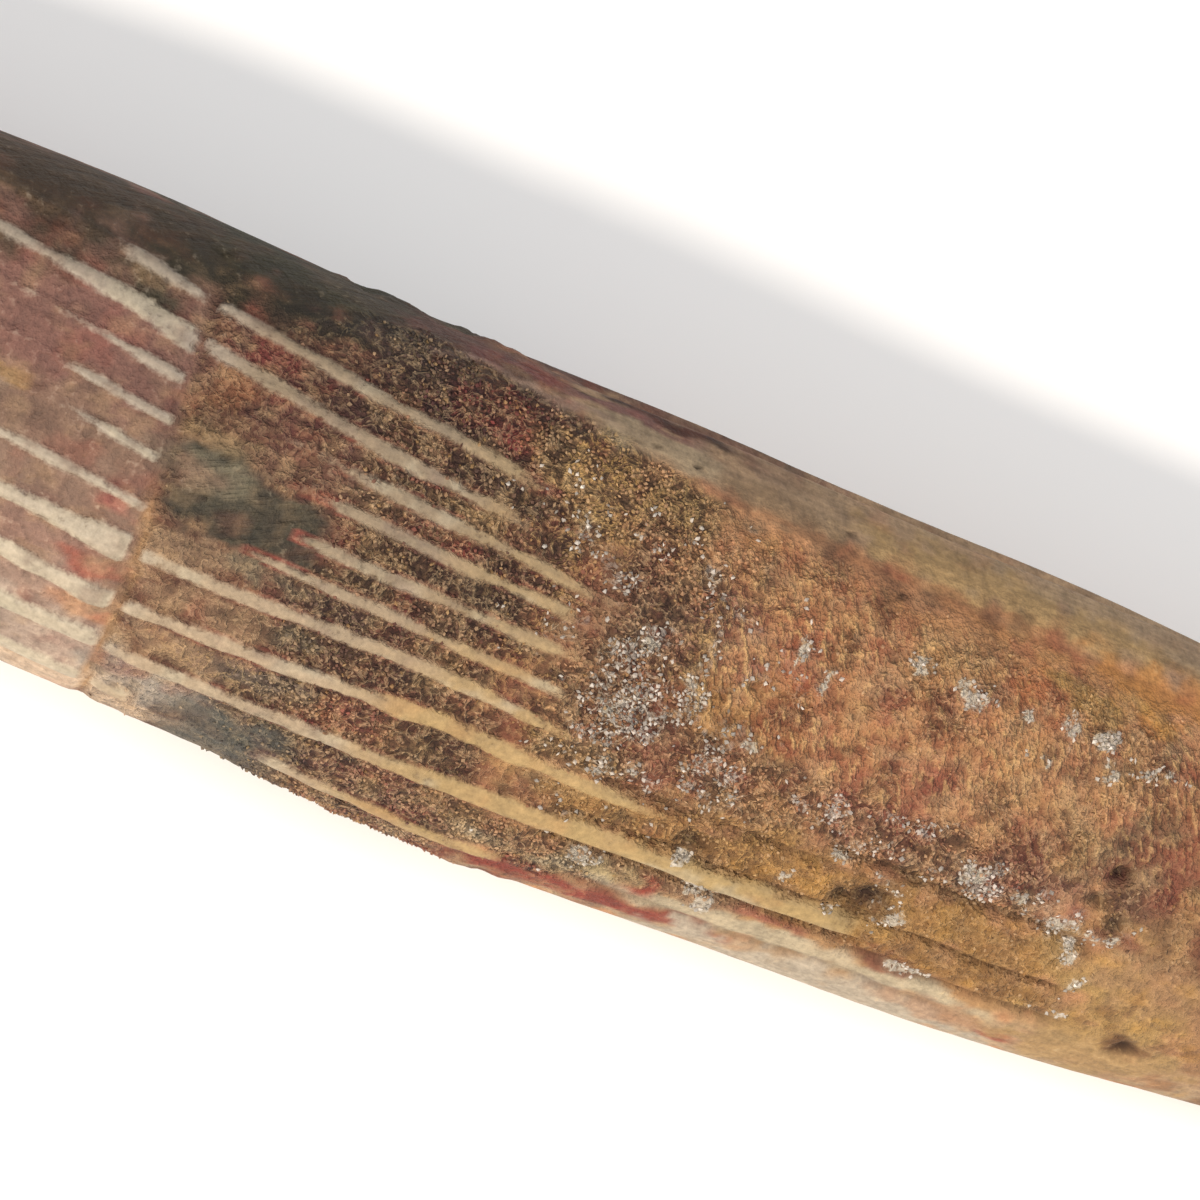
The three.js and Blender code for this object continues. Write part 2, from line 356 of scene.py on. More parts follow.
# The back edge of the sand.
sandEdge = {
    "x": [-16, -12, -8, -2, 1, 5, 9, 15, 40],
    "share": [0.76, 0.775, 0.86, 0.87, 0.842, 0.832, 0.825, 0.79, 0.77],
}


def zonesOf(skin, enamel):  # how far each kind of surface reaches, from 0 to 1
    jitter = 1.4 * softNoise(skin["flat"], 3.0, 21) + 0.6 * softNoise(skin["flat"], 1.0, 22)
    x = skin["x"] + jitter
    share = skin["share"] + 0.02 * softNoise(skin["flat"], 2.0, 23)
    share = share + 0.01 * softNoise(skin["flat"], 0.7, 24)
    tipSide = 1 - smooth(-0.4, 0.4, skin["x"] - glueLine["x"] - glueLine["slant"] * skin["share"])
    blade = 1 - smooth(6, 11, x)
    backBand = smooth(0.775, 0.80, share + np.clip((x + 5) * 0.004, -0.06, 0.05))
    alongPatch, (low, high, soft) = surfaces["darkPatch"]
    darkPatch = band(x, *alongPatch) * band(share, low, high - 0.004 * (x + 12), soft)
    crystals, redSpeckle, face = (band(x, *surfaces[kind][0]) * band(share, *surfaces[kind][1])
                                  for kind in ("crystals", "redSpeckle", "face"))
    rim = smooth(0.80, 0.825, share) * smooth(-2, 6, x)
    belly = smooth(16, 24, x) * (1 - smooth(0.15, 0.20, share))
    slate = band(x, -9, -2, 1.2) * (1 - smooth(0.155, 0.185, share))
    sandy = blade * (1 - tipSide) * (0.4 + 0.6 * smooth(-9, -4, x))
    sandy = np.maximum(sandy, np.maximum(crystals, redSpeckle * 0.9))
    crumbs = 0.25 + 0.5 * smooth(-0.1, 0.3, roughNoise(skin["flat"], 2.4, 101))
    sandy = np.maximum(sandy, crumbs * face * (1 - smooth(40, 60, x)))
    for howSandy, along, across in sandPatches:
        sandy = np.maximum(sandy, howSandy * band(x, *along) * band(share, *across))
    sandy *= 1 - 0.6 * slate
    edge = np.interp(skin["x"], sandEdge["x"], sandEdge["share"])
    sandy *= smooth(edge + 0.012, edge - 0.012, share)
    bareRim = rim * smooth(9, 14, x) * 0.8
    sandy *= (1 - 0.85 * darkPatch) * (1 - bareRim) * (1 - 0.7 * belly) * (1 - enamel)
    streak = face * smooth(13, 17, x) * smooth(0.44, 0.48, share)
    streak *= 0.4 + 0.6 * smooth(-0.25, 0.3, roughNoise(skin["flat"], 3.5, 99))
    return {
        "tipSide": tipSide, "blade": blade, "backBand": backBand, "darkPatch": darkPatch,
        "crystals": crystals, "face": face, "rim": rim, "belly": belly, "slate": slate,
        "sandy": np.clip(sandy, 0, 1), "streak": streak,
    }


print("form and zones ready")

# Blotches in the bone, the matrix and the paint of the repair: x, share, half length and half width in mm,
# colour and strength. Later ones lie over earlier ones.
stains = {
    "tip piece": [
        (-24, 0.66, 9, 5.5, "#6b4a40", 0.9), (-20, 0.77, 8, 1.8, "#5a4234", 0.8),
        (-24, 0.83, 6, 1.8, "#4d3a2e", 0.8), (-21, 0.50, 7, 2.2, "#6f5646", 0.85),
        (-20, 0.42, 7, 1.8, "#775e4e", 0.85), (-18.5, 0.33, 6, 1.6, "#846657", 0.85),
        (-17.5, 0.25, 5, 1.6, "#8e7464", 0.85), (-17, 0.16, 7, 2.4, "#9a8676", 0.9),
        (-15, 0.07, 9, 2.0, "#b09a84", 1.0), (-16.3, 0.43, 0.9, 0.7, "#8a5046", 0.8),
        (-15.8, 0.325, 1.7, 0.6, "#92503f", 0.85), (-15.6, 0.247, 1.4, 0.7, "#a97858", 0.8),
        (-14.6, 0.245, 0.5, 0.4, "#9a5a42", 0.8), (-23.5, 0.545, 1.6, 0.4, "#8a6a3e", 0.6),
    ],
    "back band": [
        (-13, 0.91, 14, 5.0, "#2f2b1c", 1.0), (-25, 0.91, 8, 4.0, "#38291b", 0.9),
        (-13, 0.815, 5, 1.2, "#2c2417", 0.8), (-8, 0.82, 4.5, 1.5, "#241e14", 1.0),
        (-6, 0.94, 5, 3.0, "#3b3226", 0.9), (-4, 0.80, 3.5, 1.8, "#43302a", 0.85),
        (-1.5, 0.92, 3.5, 2.8, "#4f342c", 0.95), (1.5, 0.90, 3.0, 1.2, "#5b3530", 0.9),
        (8, 0.955, 7, 1.8, "#664a3e", 0.95), (12, 0.97, 2.5, 1.2, "#6a5c4a", 0.8),
        (16, 0.93, 2, 2.0, "#6a4a3f", 0.7), (4, 0.896, 3.0, 0.45, "#2d1e17", 1.0),
        (11, 0.913, 5.0, 0.45, "#33221a", 1.0),
    ],
    "grooves by the back": [
        (-8.5, 0.67, 5.0, 3.4, "#452620", 0.95), (-12.5, 0.725, 3.2, 0.9, "#622c28", 0.9),
        (-8, 0.71, 2.8, 1.0, "#4a302a", 0.9), (-14.4, 0.735, 0.9, 0.8, "#4a3a30", 0.8),
        (-10.2, 0.68, 2.6, 1.5, "#3c1f1b", 0.95), (-13.6, 0.655, 1.2, 1.0, "#7c5036", 0.8),
        (-13.8, 0.60, 1.5, 1.2, "#7d5c40", 0.8), (-10, 0.665, 2.4, 0.7, "#64302a", 0.7),
        (-8.5, 0.64, 3.5, 1.0, "#50302b", 0.9), (-12, 0.585, 3.0, 0.8, "#6c5a40", 0.7),
        (-10.5, 0.615, 3.0, 0.7, "#5a3a2e", 0.7), (-7.5, 0.585, 3.5, 0.9, "#67483a", 0.8),
        (0.5, 0.575, 1.9, 0.6, "#74352d", 0.8), (0, 0.755, 3.6, 1.9, "#3b1f1e", 0.95),
        (2, 0.795, 3.4, 1.8, "#64221f", 1.0), (2.4, 0.76, 2.2, 0.9, "#7a2f2c", 0.8),
        (7, 0.755, 3.2, 2.4, "#8c6a48", 0.8), (6.5, 0.70, 2.0, 1.3, "#8c6844", 0.7),
        (9.5, 0.66, 2.0, 1.5, "#84623f", 0.7), (12.5, 0.75, 3.2, 1.7, "#866a46", 0.9),
        (4, 0.675, 4, 0.7, "#4f392c", 0.8), (1, 0.62, 6, 0.7, "#57402f", 0.7),
    ],
    "grooves by the front": [
        (-9, 0.475, 5.0, 1.1, "#2c281e", 1.0), (-13, 0.535, 3.0, 0.9, "#5a5342", 0.7),
        (2, 0.52, 6, 0.9, "#4c3629", 0.85), (3, 0.465, 5, 0.7, "#5c3d2e", 0.8),
        (-3, 0.475, 2.0, 0.7, "#5f4c36", 0.8), (-12, 0.41, 3.0, 1.2, "#846a52", 0.9),
        (-7.5, 0.415, 2.0, 1.0, "#5f5646", 0.85), (-3, 0.41, 3.0, 0.9, "#5c463a", 0.8),
        (3, 0.405, 5.0, 0.9, "#6a4234", 0.85), (-11, 0.335, 4.0, 1.3, "#85684f", 0.9),
        (-4, 0.345, 2.0, 0.9, "#605645", 0.85), (6, 0.345, 5.5, 1.0, "#80523a", 0.85),
        (-10, 0.25, 4.5, 1.4, "#8b7057", 0.9), (-5, 0.26, 3.0, 0.9, "#75685a", 0.8),
        (1.6, 0.255, 2.1, 1.2, "#884c3e", 0.85), (9, 0.265, 6.5, 1.1, "#80523a", 0.9),
        (4.6, 0.24, 1.0, 0.5, "#8a7a5e", 0.7), (-10, 0.155, 4.0, 1.8, "#8e8478", 0.9),
        (-4.5, 0.155, 3.2, 1.8, "#504e48", 1.0), (-1.8, 0.15, 1.3, 1.4, "#3c3a36", 0.9),
        (4.5, 0.15, 5.2, 1.7, "#74483a", 1.0), (2.5, 0.178, 0.8, 0.5, "#3c332a", 0.7),
        (11.5, 0.165, 4.0, 1.2, "#74523c", 0.85), (-5.5, 0.06, 2.6, 1.8, "#6e665a", 0.95),
        (5, 0.035, 9.0, 1.9, "#6d5248", 1.0), (9, 0.05, 7.5, 1.3, "#743c2e", 0.9),
        (-12, 0.075, 5.0, 1.4, "#b59d85", 0.9),
    ],
    "crystal field": [
        (14, 0.50, 5, 7, "#85593e", 0.9), (12, 0.57, 3.0, 4.0, "#6f4c38", 0.8),
        (13, 0.45, 4.0, 3.0, "#74543c", 0.8), (16.5, 0.60, 3.0, 2.5, "#8a6a55", 0.7),
        (18, 0.39, 4.0, 2.4, "#7f4a38", 0.85), (12, 0.34, 4.0, 1.2, "#94764c", 0.7),
        (14, 0.285, 5.0, 0.9, "#9a7a48", 0.7), (20.6, 0.275, 1.1, 0.9, "#40291f", 1.0),
    ],
    "side of the root": [
        (50, 0.50, 5.5, 9.0, "#87603f", 0.85), (30, 0.735, 14, 1.6, "#94683f", 0.6),
        (27, 0.55, 4.0, 2.4, "#975440", 0.8), (23, 0.62, 3.0, 2.2, "#99583a", 0.7),
        (36, 0.70, 3.2, 1.5, "#9f5f3a", 0.8), (33, 0.62, 5.0, 2.0, "#a87048", 0.6),
        (45, 0.50, 6.0, 2.4, "#745b42", 0.85), (48, 0.42, 5.0, 2.2, "#6e4a37", 0.85),
        (20, 0.50, 4.0, 2.0, "#9a703f", 0.7), (29, 0.42, 7.0, 1.7, "#8c5040", 0.85),
        (39, 0.41, 5.0, 1.5, "#8c5a48", 0.85), (33, 0.40, 3.0, 1.0, "#8c644a", 0.7),
        (41.6, 0.765, 1.9, 1.1, "#ad8446", 0.9), (38, 0.725, 1.7, 1.0, "#a68248", 0.8),
        (43.2, 0.73, 1.5, 1.0, "#b07c38", 0.8), (26, 0.778, 7.0, 0.8, "#8c6244", 0.8),
        (38, 0.78, 9.0, 0.8, "#94683f", 0.8),
    ],
    "front of the root": [
        (32, 0.09, 24, 5.0, "#9c866c", 0.9), (30, 0.21, 22, 5.0, "#9a744a", 0.85),
        (36, 0.29, 10, 1.9, "#98703f", 0.9), (22, 0.28, 8, 1.2, "#966c3e", 0.85),
        (24, 0.225, 10, 0.7, "#a48a5a", 0.9), (39, 0.212, 6.5, 1.0, "#8e663a", 0.9),
        (47, 0.30, 3.5, 3.0, "#9c7a4c", 0.8), (29, 0.147, 16, 0.9, "#a3947a", 0.95),
        (22, 0.187, 8, 0.6, "#8d6a50", 0.8), (28, 0.183, 2.5, 0.5, "#8f5442", 0.8),
        (19.5, 0.172, 1.3, 0.9, "#86382a", 1.0), (20, 0.10, 6.5, 0.8, "#7c3c30", 1.0),
        (13, 0.09, 5, 1.0, "#7c3a2e", 1.0), (35.5, 0.185, 3.0, 0.7, "#6e4332", 0.9),
        (17.5, 0.175, 1.8, 0.8, "#a08c64", 0.8), (34, 0.085, 9.5, 1.5, "#9c8e7b", 1.0),
        (34, 0.04, 12, 2.2, "#a39582", 1.0), (40.5, 0.105, 4.5, 1.0, "#9a7254", 0.6),
        (44, 0.092, 1.6, 0.6, "#8f4a3a", 0.9), (49, 0.14, 5.5, 3.2, "#94774f", 0.9),
        (48.5, 0.26, 4.0, 2.8, "#977749", 0.9), (50, 0.33, 3.0, 2.0, "#927050", 0.7),
        (51, 0.17, 0.9, 0.8, "#5b3d26", 0.9), (31.7, 0.285, 1.5, 0.9, "#41281f", 0.95),
        (30.3, 0.27, 1.2, 1.0, "#8a6440", 0.7), (44.5, 0.485, 0.8, 0.6, "#2c2018", 1.0),
        (43.8, 0.43, 0.9, 0.6, "#4a3828", 0.9), (45.6, 0.40, 0.9, 0.7, "#5b4334", 0.9),
    ],
    "rim": [
        (9.5, 0.852, 5.5, 1.1, "#958166", 1.0), (-1, 0.853, 3.4, 0.36, "#80655a", 1.0),
        (3.5, 0.85, 3.0, 0.6, "#8a705e", 1.0), (6, 0.888, 6.5, 0.5, "#64423e", 0.9),
        (19, 0.83, 4.5, 1.3, "#7c644a", 0.8), (22, 0.90, 6.0, 2.6, "#8a735a", 0.7),
        (34, 0.86, 10, 1.9, "#947850", 0.9), (42, 0.94, 12, 2.4, "#8f7960", 0.8),
        (30, 0.803, 14, 0.5, "#84583a", 0.6), (43, 0.795, 5, 1.3, "#a06c38", 0.7),
    ],
}

# Chalky white crusts: x, share, half length and half width in mm.
crusts = [
    (31.6, 0.66, 0.9, 0.9), (28.3, 0.672, 0.5, 0.7), (37.6, 0.672, 0.7, 0.8), (38.3, 0.65, 0.6, 0.9),
    (42.6, 0.655, 1.1, 0.6), (44.6, 0.66, 1.4, 0.5), (39.8, 0.68, 0.6, 0.6), (35.4, 0.61, 0.4, 0.7),
    (36.9, 0.61, 0.5, 0.4), (34.6, 0.67, 0.5, 0.6), (33.1, 0.285, 0.7, 1.3), (31.8, 0.332, 1.2, 0.5),
    (29.4, 0.342, 0.8, 0.4), (45.6, 0.28, 0.6, 1.4), (45.3, 0.22, 0.7, 1.2), (44.6, 0.32, 0.7, 0.9),
    (45.3, 0.37, 1.0, 0.5), (43.0, 0.375, 1.2, 0.6), (23, 0.185, 0.8, 0.9), (36.8, 0.18, 1.4, 0.4),
    (27.2, 0.28, 0.4, 0.7), (20.8, 0.245, 0.8, 0.4), (30.2, 0.25, 0.5, 0.4), (41, 0.63, 0.5, 0.8),
    (21.5, 0.62, 0.4, 0.9), (23.5, 0.60, 0.3, 0.8), (16.6, 0.50, 0.7, 1.2), (12.2, 0.44, 0.8, 0.6),
    (14, 0.345, 1.2, 0.7), (16.2, 0.36, 0.8, 0.8), (13.5, 0.545, 0.8, 0.5), (20.4, 0.465, 0.9, 0.5),
    (37, 0.40, 1.6, 0.6), (39.5, 0.375, 1.2, 0.6), (15.5, 0.185, 1.0, 0.6),
]

# Where quartz crystals crowd in the sand: x, share, half length and half width in mm, how densely.
crystalSpots = [
    (13.5, 0.49, 5.5, 7.5, 0.38), (12, 0.40, 3.0, 3.0, 0.5), (12, 0.44, 1.4, 1.3, 0.5),
    (14, 0.345, 1.5, 1.0, 0.6), (16.3, 0.36, 1.1, 1.2, 0.7), (16.8, 0.50, 0.9, 0.6, 0.7),
    (13, 0.54, 1.6, 1.0, 0.5), (26, 0.41, 2.0, 1.0, 0.5), (39.5, 0.392, 4.5, 1.1, 0.85),
    (29, 0.39, 2.5, 1.0, 0.5), (33, 0.45, 2.5, 0.7, 0.4), (12.5, 0.66, 3.0, 1.3, 0.45),
    (20, 0.40, 4.0, 1.6, 0.4), (22, 0.62, 2.0, 1.6, 0.3), (33, 0.30, 1.0, 1.4, 0.6),
    (7, 0.72, 3.0, 2.0, 0.15), (44, 0.36, 1.5, 1.0, 0.5),
]

# Ochre grit: x, share, half length and half width in mm, share of the grains.
ochreSpots = [
    (6.5, 0.77, 2.4, 2.6, 0.5), (8.5, 0.70, 2.2, 2.2, 0.35), (12, 0.76, 3.5, 2.0, 0.3),
    (7.5, 0.52, 2.2, 9.0, 0.3), (-9, 0.25, 4.0, 1.6, 0.3), (18, 0.62, 3.0, 4.0, 0.3),
    (16, 0.27, 4.0, 1.2, 0.3), (24, 0.31, 5.0, 1.4, 0.3),
]

# Mottling: colour, strength, lump in mm, seed, octaves, where the noise begins and is full, and the part of
# the spine that it keeps to.
mottles = {
    "under stains": [
        ("#5f4a3a", 0.6, 9, 47, 3, 0.1, 0.7, "farRoot"), ("#4f3f34", 0.8, 7, 48, 3, 0.1, 0.7, "farTip"),
        ("#8a6a5a", 0.7, 6, 49, 3, 0.1, 0.7, "farTip"), ("#927a62", 1.0, 2.6, 54, 4, -0.02, 0.3, "paleTip"),
        ("#54302a", 0.7, 1.9, 55, 4, -0.05, 0.3, "tipSide"),
    ],
    "over stains": [
        ("#3a2820", 0.5, 1.9, 55, 4, -0.05, 0.35, "sandyBlade"),
        ("#9c7c52", 0.55, 2.6, 54, 4, 0.0, 0.4, "sandByRoot"),
        ("#7c4230", 0.6, 1.9, 55, 4, -0.05, 0.35, "face"), ("#b48a58", 0.5, 2.6, 54, 4, 0.0, 0.4, "face"),
    ],
    "over all": [
        ("#38201a", 0.50, 1.2, 80, 3, 0.02, 0.42, "mixed"),
        ("#a88864", 0.42, 1.0, 84, 3, 0.05, 0.45, "paleMixed"),
        ("#7d382c", 0.40, 1.7, 88, 3, 0.10, 0.45, "mixed"),
        ("#b5863f", 0.45, 1.6, 92, 4, 0.0, 0.4, "rootFront"),
        ("#66452b", 0.55, 1.1, 96, 4, 0.08, 0.42, "rootFront"),
    ],
}

boneColours = {
    "blade": "#603f30", "tipPiece": "#6e5244", "root": "#ac7c56", "farRoot": "#846446", "rim": "#8f755a",
    "glue": "#94704c", "glueShade": "#553c30", "darkPatch": "#2f2b20", "slate": "#4b4c46",
    # crease and pit are painted shade in the creases and pits; the red line beside the ribs is partly
    # red-brown ground and partly painted shade where the ribs rise
    "redLineAndRibShade": "#7d4034", "crease": "#513722", "pit": "#25160e", "underCrust": "#a08a70",
}
enamelColours = {
    "back": "#86765f", "front": "#9f8c72", "tip": "#8e8272", "ivory": "#b3a68e", "warm": "#9c8358",
    "ochre": "#a07c50", "pale": "#a89e86", "dull": "#7c6a5a",
}


def spotMask(skin, x, share, halfLength, halfWidth, edge=0.35):
    own = np.where(skin["side"] > 0, 0.0, hiddenSide["stainBack"])
    away = np.hypot((skin["x"] + skin["drift"] - own - x) / halfLength,
                    ((skin["share"] - share) * section["length"] + skin["sway"]) / halfWidth)
    return smooth(1 + edge, 1 - edge, away + skin["fray"] * min(1, halfWidth / 1.2))


def spotField(skin, spots, edge, least=0.0):  # the strongest spot at each vertex
    field = np.full(len(skin["x"]), least)
    for *place, strength in spots:
        field = np.maximum(field, strength * spotMask(skin, *place, edge))
    return field


def paintEnamel(skin):  # ivory in front, greyer by the back, stained ochre towards the root
    flat = skin["flat"]
    front, tip = smooth(0.55, 0.30, skin["share"]), smooth(-12, -15, skin["x"])
    warm = smooth(-2, 5, skin["x"] + 2.5 * softNoise(flat, 3, 51)) * (1 - tip) * (0.55 + 0.45 * front)
    layers = {
        "front": front, "tip": tip, "ivory": 0.75 * tip * front, "warm": warm,
        "ochre": 0.6 * warm * smooth(0.0, 0.5, roughNoise(flat, 1.5, 52)),
        "pale": 0.5 * smooth(0.15, 0.5, roughNoise(flat, 1.9, 58)),
        "dull": 0.6 * (1 - warm) * smooth(0.1, 0.5, roughNoise(flat, 1.2, 53)),
    }
    colour = np.tile(hexColour(enamelColours["back"]), (len(flat), 1))
    for name, amount in layers.items():
        colour += (hexColour(enamelColours[name]) - colour) * np.clip(amount, 0, 1)[:, None]
    return colour


def mottledParts(skin, zones):  # how far the parts that the mottling keeps to reach
    x, share, tip, blade = skin["x"], skin["share"], zones["tipSide"], zones["blade"]
    mixed = 1 - 0.7 * zones["belly"] - 0.6 * zones["rim"] * smooth(2, 10, x)
    mixed *= 1 - 0.75 * smooth(16, 22, x) * smooth(0.36, 0.32, share)
    mixed *= 1 - 0.6 * smooth(-4, -8, x) * band(share, 0.78, 0.86, 0.015)
    mixed *= (1 - 0.45 * tip) * (1 - 0.7 * zones["darkPatch"])
    mixed *= 1 - 0.85 * zones["backBand"] * smooth(3, -3, x)
    return {
        "farRoot": (1 - blade) * smooth(45, 60, x), "farTip": tip * smooth(-24, -34, x),
        "tipSide": tip, "face": zones["face"],
        "paleTip": tip * (0.65 - 0.4 * smooth(0.55, 0.7, share)),
        "sandyBlade": zones["sandy"] * blade, "sandByRoot": zones["sandy"] * blade * smooth(-8, 5, x),
        "mixed": mixed, "paleMixed": mixed * (1 - 0.6 * zones["backBand"]),
        "rootFront": smooth(18, 24, x) * band(share, 0.19, 0.345, 0.012),
    }


def paintSkin(skin, zones, enamel):  # colour of bone and sand, colour of enamel, crusts and crystals
    flat, x, share = skin["flat"], skin["x"], skin["share"]
    skin["drift"] = 1.0 * softNoise(flat, 2.4, 41) + 0.4 * softNoise(flat, 0.8, 42)
    skin["sway"] = 0.5 * softNoise(flat, 1.8, 43) + 0.25 * softNoise(flat, 0.7, 44)
    skin["fray"] = 1.15 * roughNoise(flat, 1.5, 45, 4)
    parts = mottledParts(skin, zones)
    colour = np.tile(hexColour(boneColours["blade"]), (len(flat), 1))

    def lay(code, amount):
        colour[:] = colour + (hexColour(code) - colour) * np.clip(amount, 0, 1)[:, None]

    def layMottles(group):
        for code, strength, lump, seed, octaves, low, high, part in mottles[group]:
            lay(code, strength * parts[part] * smooth(low, high, roughNoise(flat, lump, seed, octaves)))

    lay(boneColours["tipPiece"], zones["tipSide"])
    lay(boneColours["root"], 1 - zones["blade"])
    lay(boneColours["farRoot"], smooth(44, 60, x))
    layMottles("under stains")
    lay(boneColours["rim"], zones["rim"])
    lay(boneColours["darkPatch"], zones["darkPatch"])
    for group in stains.values():
        for *place, code, strength in group:
            lay(code, strength * spotMask(skin, *place))
    layMottles("over stains")
    colour *= (1 + 0.16 * zones["blade"] * (1 - zones["tipSide"]) * smooth(0.86, 0.78, share))[:, None]
    glued = np.exp(-(glueDistance(x + 0.35 * skin["drift"], share) / glueLine["halfWidth"]) ** 2)
    lay(boneColours["glue"], 0.9 * glued * smooth(0.52, 0.42, share))
    lay(boneColours["glueShade"], 0.8 * glued * band(share, 0.56, 0.79, 0.02))
    # a red line beside the ribs: partly the red-brown colour of the ground there, partly painted shade where
    # the ribs rise from it
    redAndShadeBesideRibs = skin["nextToRib"] * smooth(-0.25, 0.15, roughNoise(flat, 2.5, 50))
    lay(boneColours["redLineAndRibShade"], 0.9 * redAndShadeBesideRibs * band(x, -10, 9, 2))
    layMottles("over all")
    lay(boneColours["slate"], 0.75 * zones["slate"])
    # painted shade along the creases, where their shadow lines fall
    for depth in creaseDepths(skin, 1.4):
        lay(boneColours["crease"], 1.4 * depth)
    # painted shade in the pits: near black down in each hollow
    for depth, hollow in pitHollows(skin, 1.2):
        lay(boneColours["pit"], 0.9 * hollow)
    crust = spotField(skin, [(*place, 1.0) for place in crusts], 0.3)
    crust *= (skin["side"] > 0) * smooth(-0.45, 0.15, roughNoise(flat, 0.9, 59))
    lay(boneColours["underCrust"], 0.35 * crust)
    crystal = spotField(skin, crystalSpots, 0.6) * smooth(-0.25, 0.25, roughNoise(flat, 1.7, 57))
    return colour, paintEnamel(skin), crust, crystal * (1 - enamel)


def ringPlaces():  # x of each ring: close together on the middle stretch, wider apart towards the ends
    fine = np.linspace(spineForm["tipX"], spineForm["rootX"], 4001)
    low, high = spineForm["closeRings"]
    near = smooth(low - 10, low, fine) * (1 - smooth(high, high + 10, fine))
    density = near / spineForm["closeStep"] + (1 - near) / spineForm["wideStep"]
    density += 1.2 * np.exp(-(fine - spineForm["tipX"]) / 3) + 0.8 * np.exp(-(spineForm["rootX"] - fine) / 3)
    count = np.concatenate([[0], np.cumsum((density[1:] + density[:-1]) / 2)])
    return fine, count / count[-1]


def buildBlank():  # a capped cylinder along X, cut into rings, with both ends inset
    deselectAll()
    bpy.ops.mesh.primitive_cylinder_add(
        vertices=spineForm["columns"], radius=1, depth=2, end_fill_type="NGON",
        location=(0, 0, 0), rotation=(0, math.pi / 2, 0))
    blank = bpy.context.object
    blank.name = "fossilSpine"
    bpy.ops.object.transform_apply(location=False, rotation=True, scale=False)
    sides = blank.data
    for cut in spineForm["cuts"]:  # only the lengthwise edges are cut
        bpy.ops.object.mode_set(mode="EDIT")
        bpy.ops.mesh.select_mode(type="EDGE")
        bpy.ops.mesh.select_all(action="DESELECT")
        bpy.ops.object.mode_set(mode="OBJECT")
        co = np.empty(len(sides.vertices) * 3)
        sides.vertices.foreach_get("co", co)
        ends = np.empty(len(sides.edges) * 2, dtype=np.int32)
        sides.edges.foreach_get("vertices", ends)
        reach = co.reshape(-1, 3)[ends.reshape(-1, 2), 0]
        sides.edges.foreach_set("select", abs(reach[:, 0] - reach[:, 1]) > 1e-5)
        bpy.ops.object.mode_set(mode="EDIT")
        bpy.ops.mesh.subdivide(number_cuts=cut)
    for end, insets in ((-1, spineForm["tipInsets"]), (1, spineForm["rootInsets"])):
        bpy.ops.mesh.select_mode(type="FACE")
        bpy.ops.mesh.select_all(action="DESELECT")
        bpy.ops.object.mode_set(mode="OBJECT")
        for face in sides.polygons:
            if len(face.vertices) > 4 and face.center.x * end > 0.5:
                face.select = True
        bpy.ops.object.mode_set(mode="EDIT")
        for thickness in insets:
            bpy.ops.mesh.inset(thickness=thickness)
        bpy.ops.mesh.poke()
    bpy.ops.object.mode_set(mode="OBJECT")
    return blank


def skinOf(blank):  # what each vertex stands for: its x, side, share and how far out it lies
    co = np.empty(len(blank.data.vertices) * 3)
    blank.data.vertices.foreach_get("co", co)
    co = co.reshape(-1, 3)
    span = np.minimum(np.hypot(co[:, 1], co[:, 2]), 1)
    turn = np.arctan2(co[:, 2], -co[:, 1]) / (2 * math.pi) % 1
    upper = spineForm["upperColumns"]
    side = np.where(turn <= upper, 1, -1)
    share = np.where(turn <= upper, turn / upper, (1 - turn) / (1 - upper))
    fine, count = ringPlaces()
    x = np.interp((co[:, 0] + 1) / 2, count, fine)
    x = x.clip(spineForm["tipX"], spineForm["rootX"])
    taper = taperAt(x)
    flat = np.stack([x, np.interp(share, section["share"], section["across"]) * taper,
                     side * np.interp(share, section["share"], section["up"]) * taper], axis=1)
    return {"x": x, "side": side, "share": share, "span": span, "taper": taper, "flat": flat}


def skinPlaces(skin, height):  # where each vertex goes, in mm
    taper, share = skin["taper"], skin["share"]
    height = height * np.minimum(1, 2.5 * taper)
    outAcross = np.interp(share, section["share"], section["outAcross"])
    outUp = np.interp(share, section["share"], section["outUp"])
    across = np.interp(share, section["share"], section["across"]) * taper + outAcross * height
    up = skin["side"] * (np.interp(share, section["share"], section["up"]) * taper + outUp * height)
    roll = math.radians(spineForm["rollDeg"])
    y = (across * math.cos(roll) - up * math.sin(roll)) * skin["span"] + bowAt(skin["x"])
    z = (across * math.sin(roll) + up * math.cos(roll)) * skin["span"]
    z += spineForm["halfThickness"] * taper - spineForm["wornDepth"] + liftAt(skin["x"])
    inward = 1 - skin["span"] ** 2
    broken = 0.5 * roughNoise(skin["flat"] * skin["span"][:, None], 1.6, 71)
    atTip, atRoot = skin["x"] == spineForm["tipX"], skin["x"] == spineForm["rootX"]
    tipEnd = atTip * (-spineForm["tipDome"] * inward + 0.3 * broken * inward)
    rim = smooth(0.97, 0.86, skin["span"])
    rootEnd = atRoot * (rim * (broken - 0.7) - spineForm["rootRecess"] * inward * 0.9)
    ragged = atRoot * 0.7 * softNoise(skin["flat"], 2.4, 72)
    x = skin["x"] + tipEnd + rootEnd + ragged
    return np.stack([x, y, np.maximum(z, 0)], axis=1)


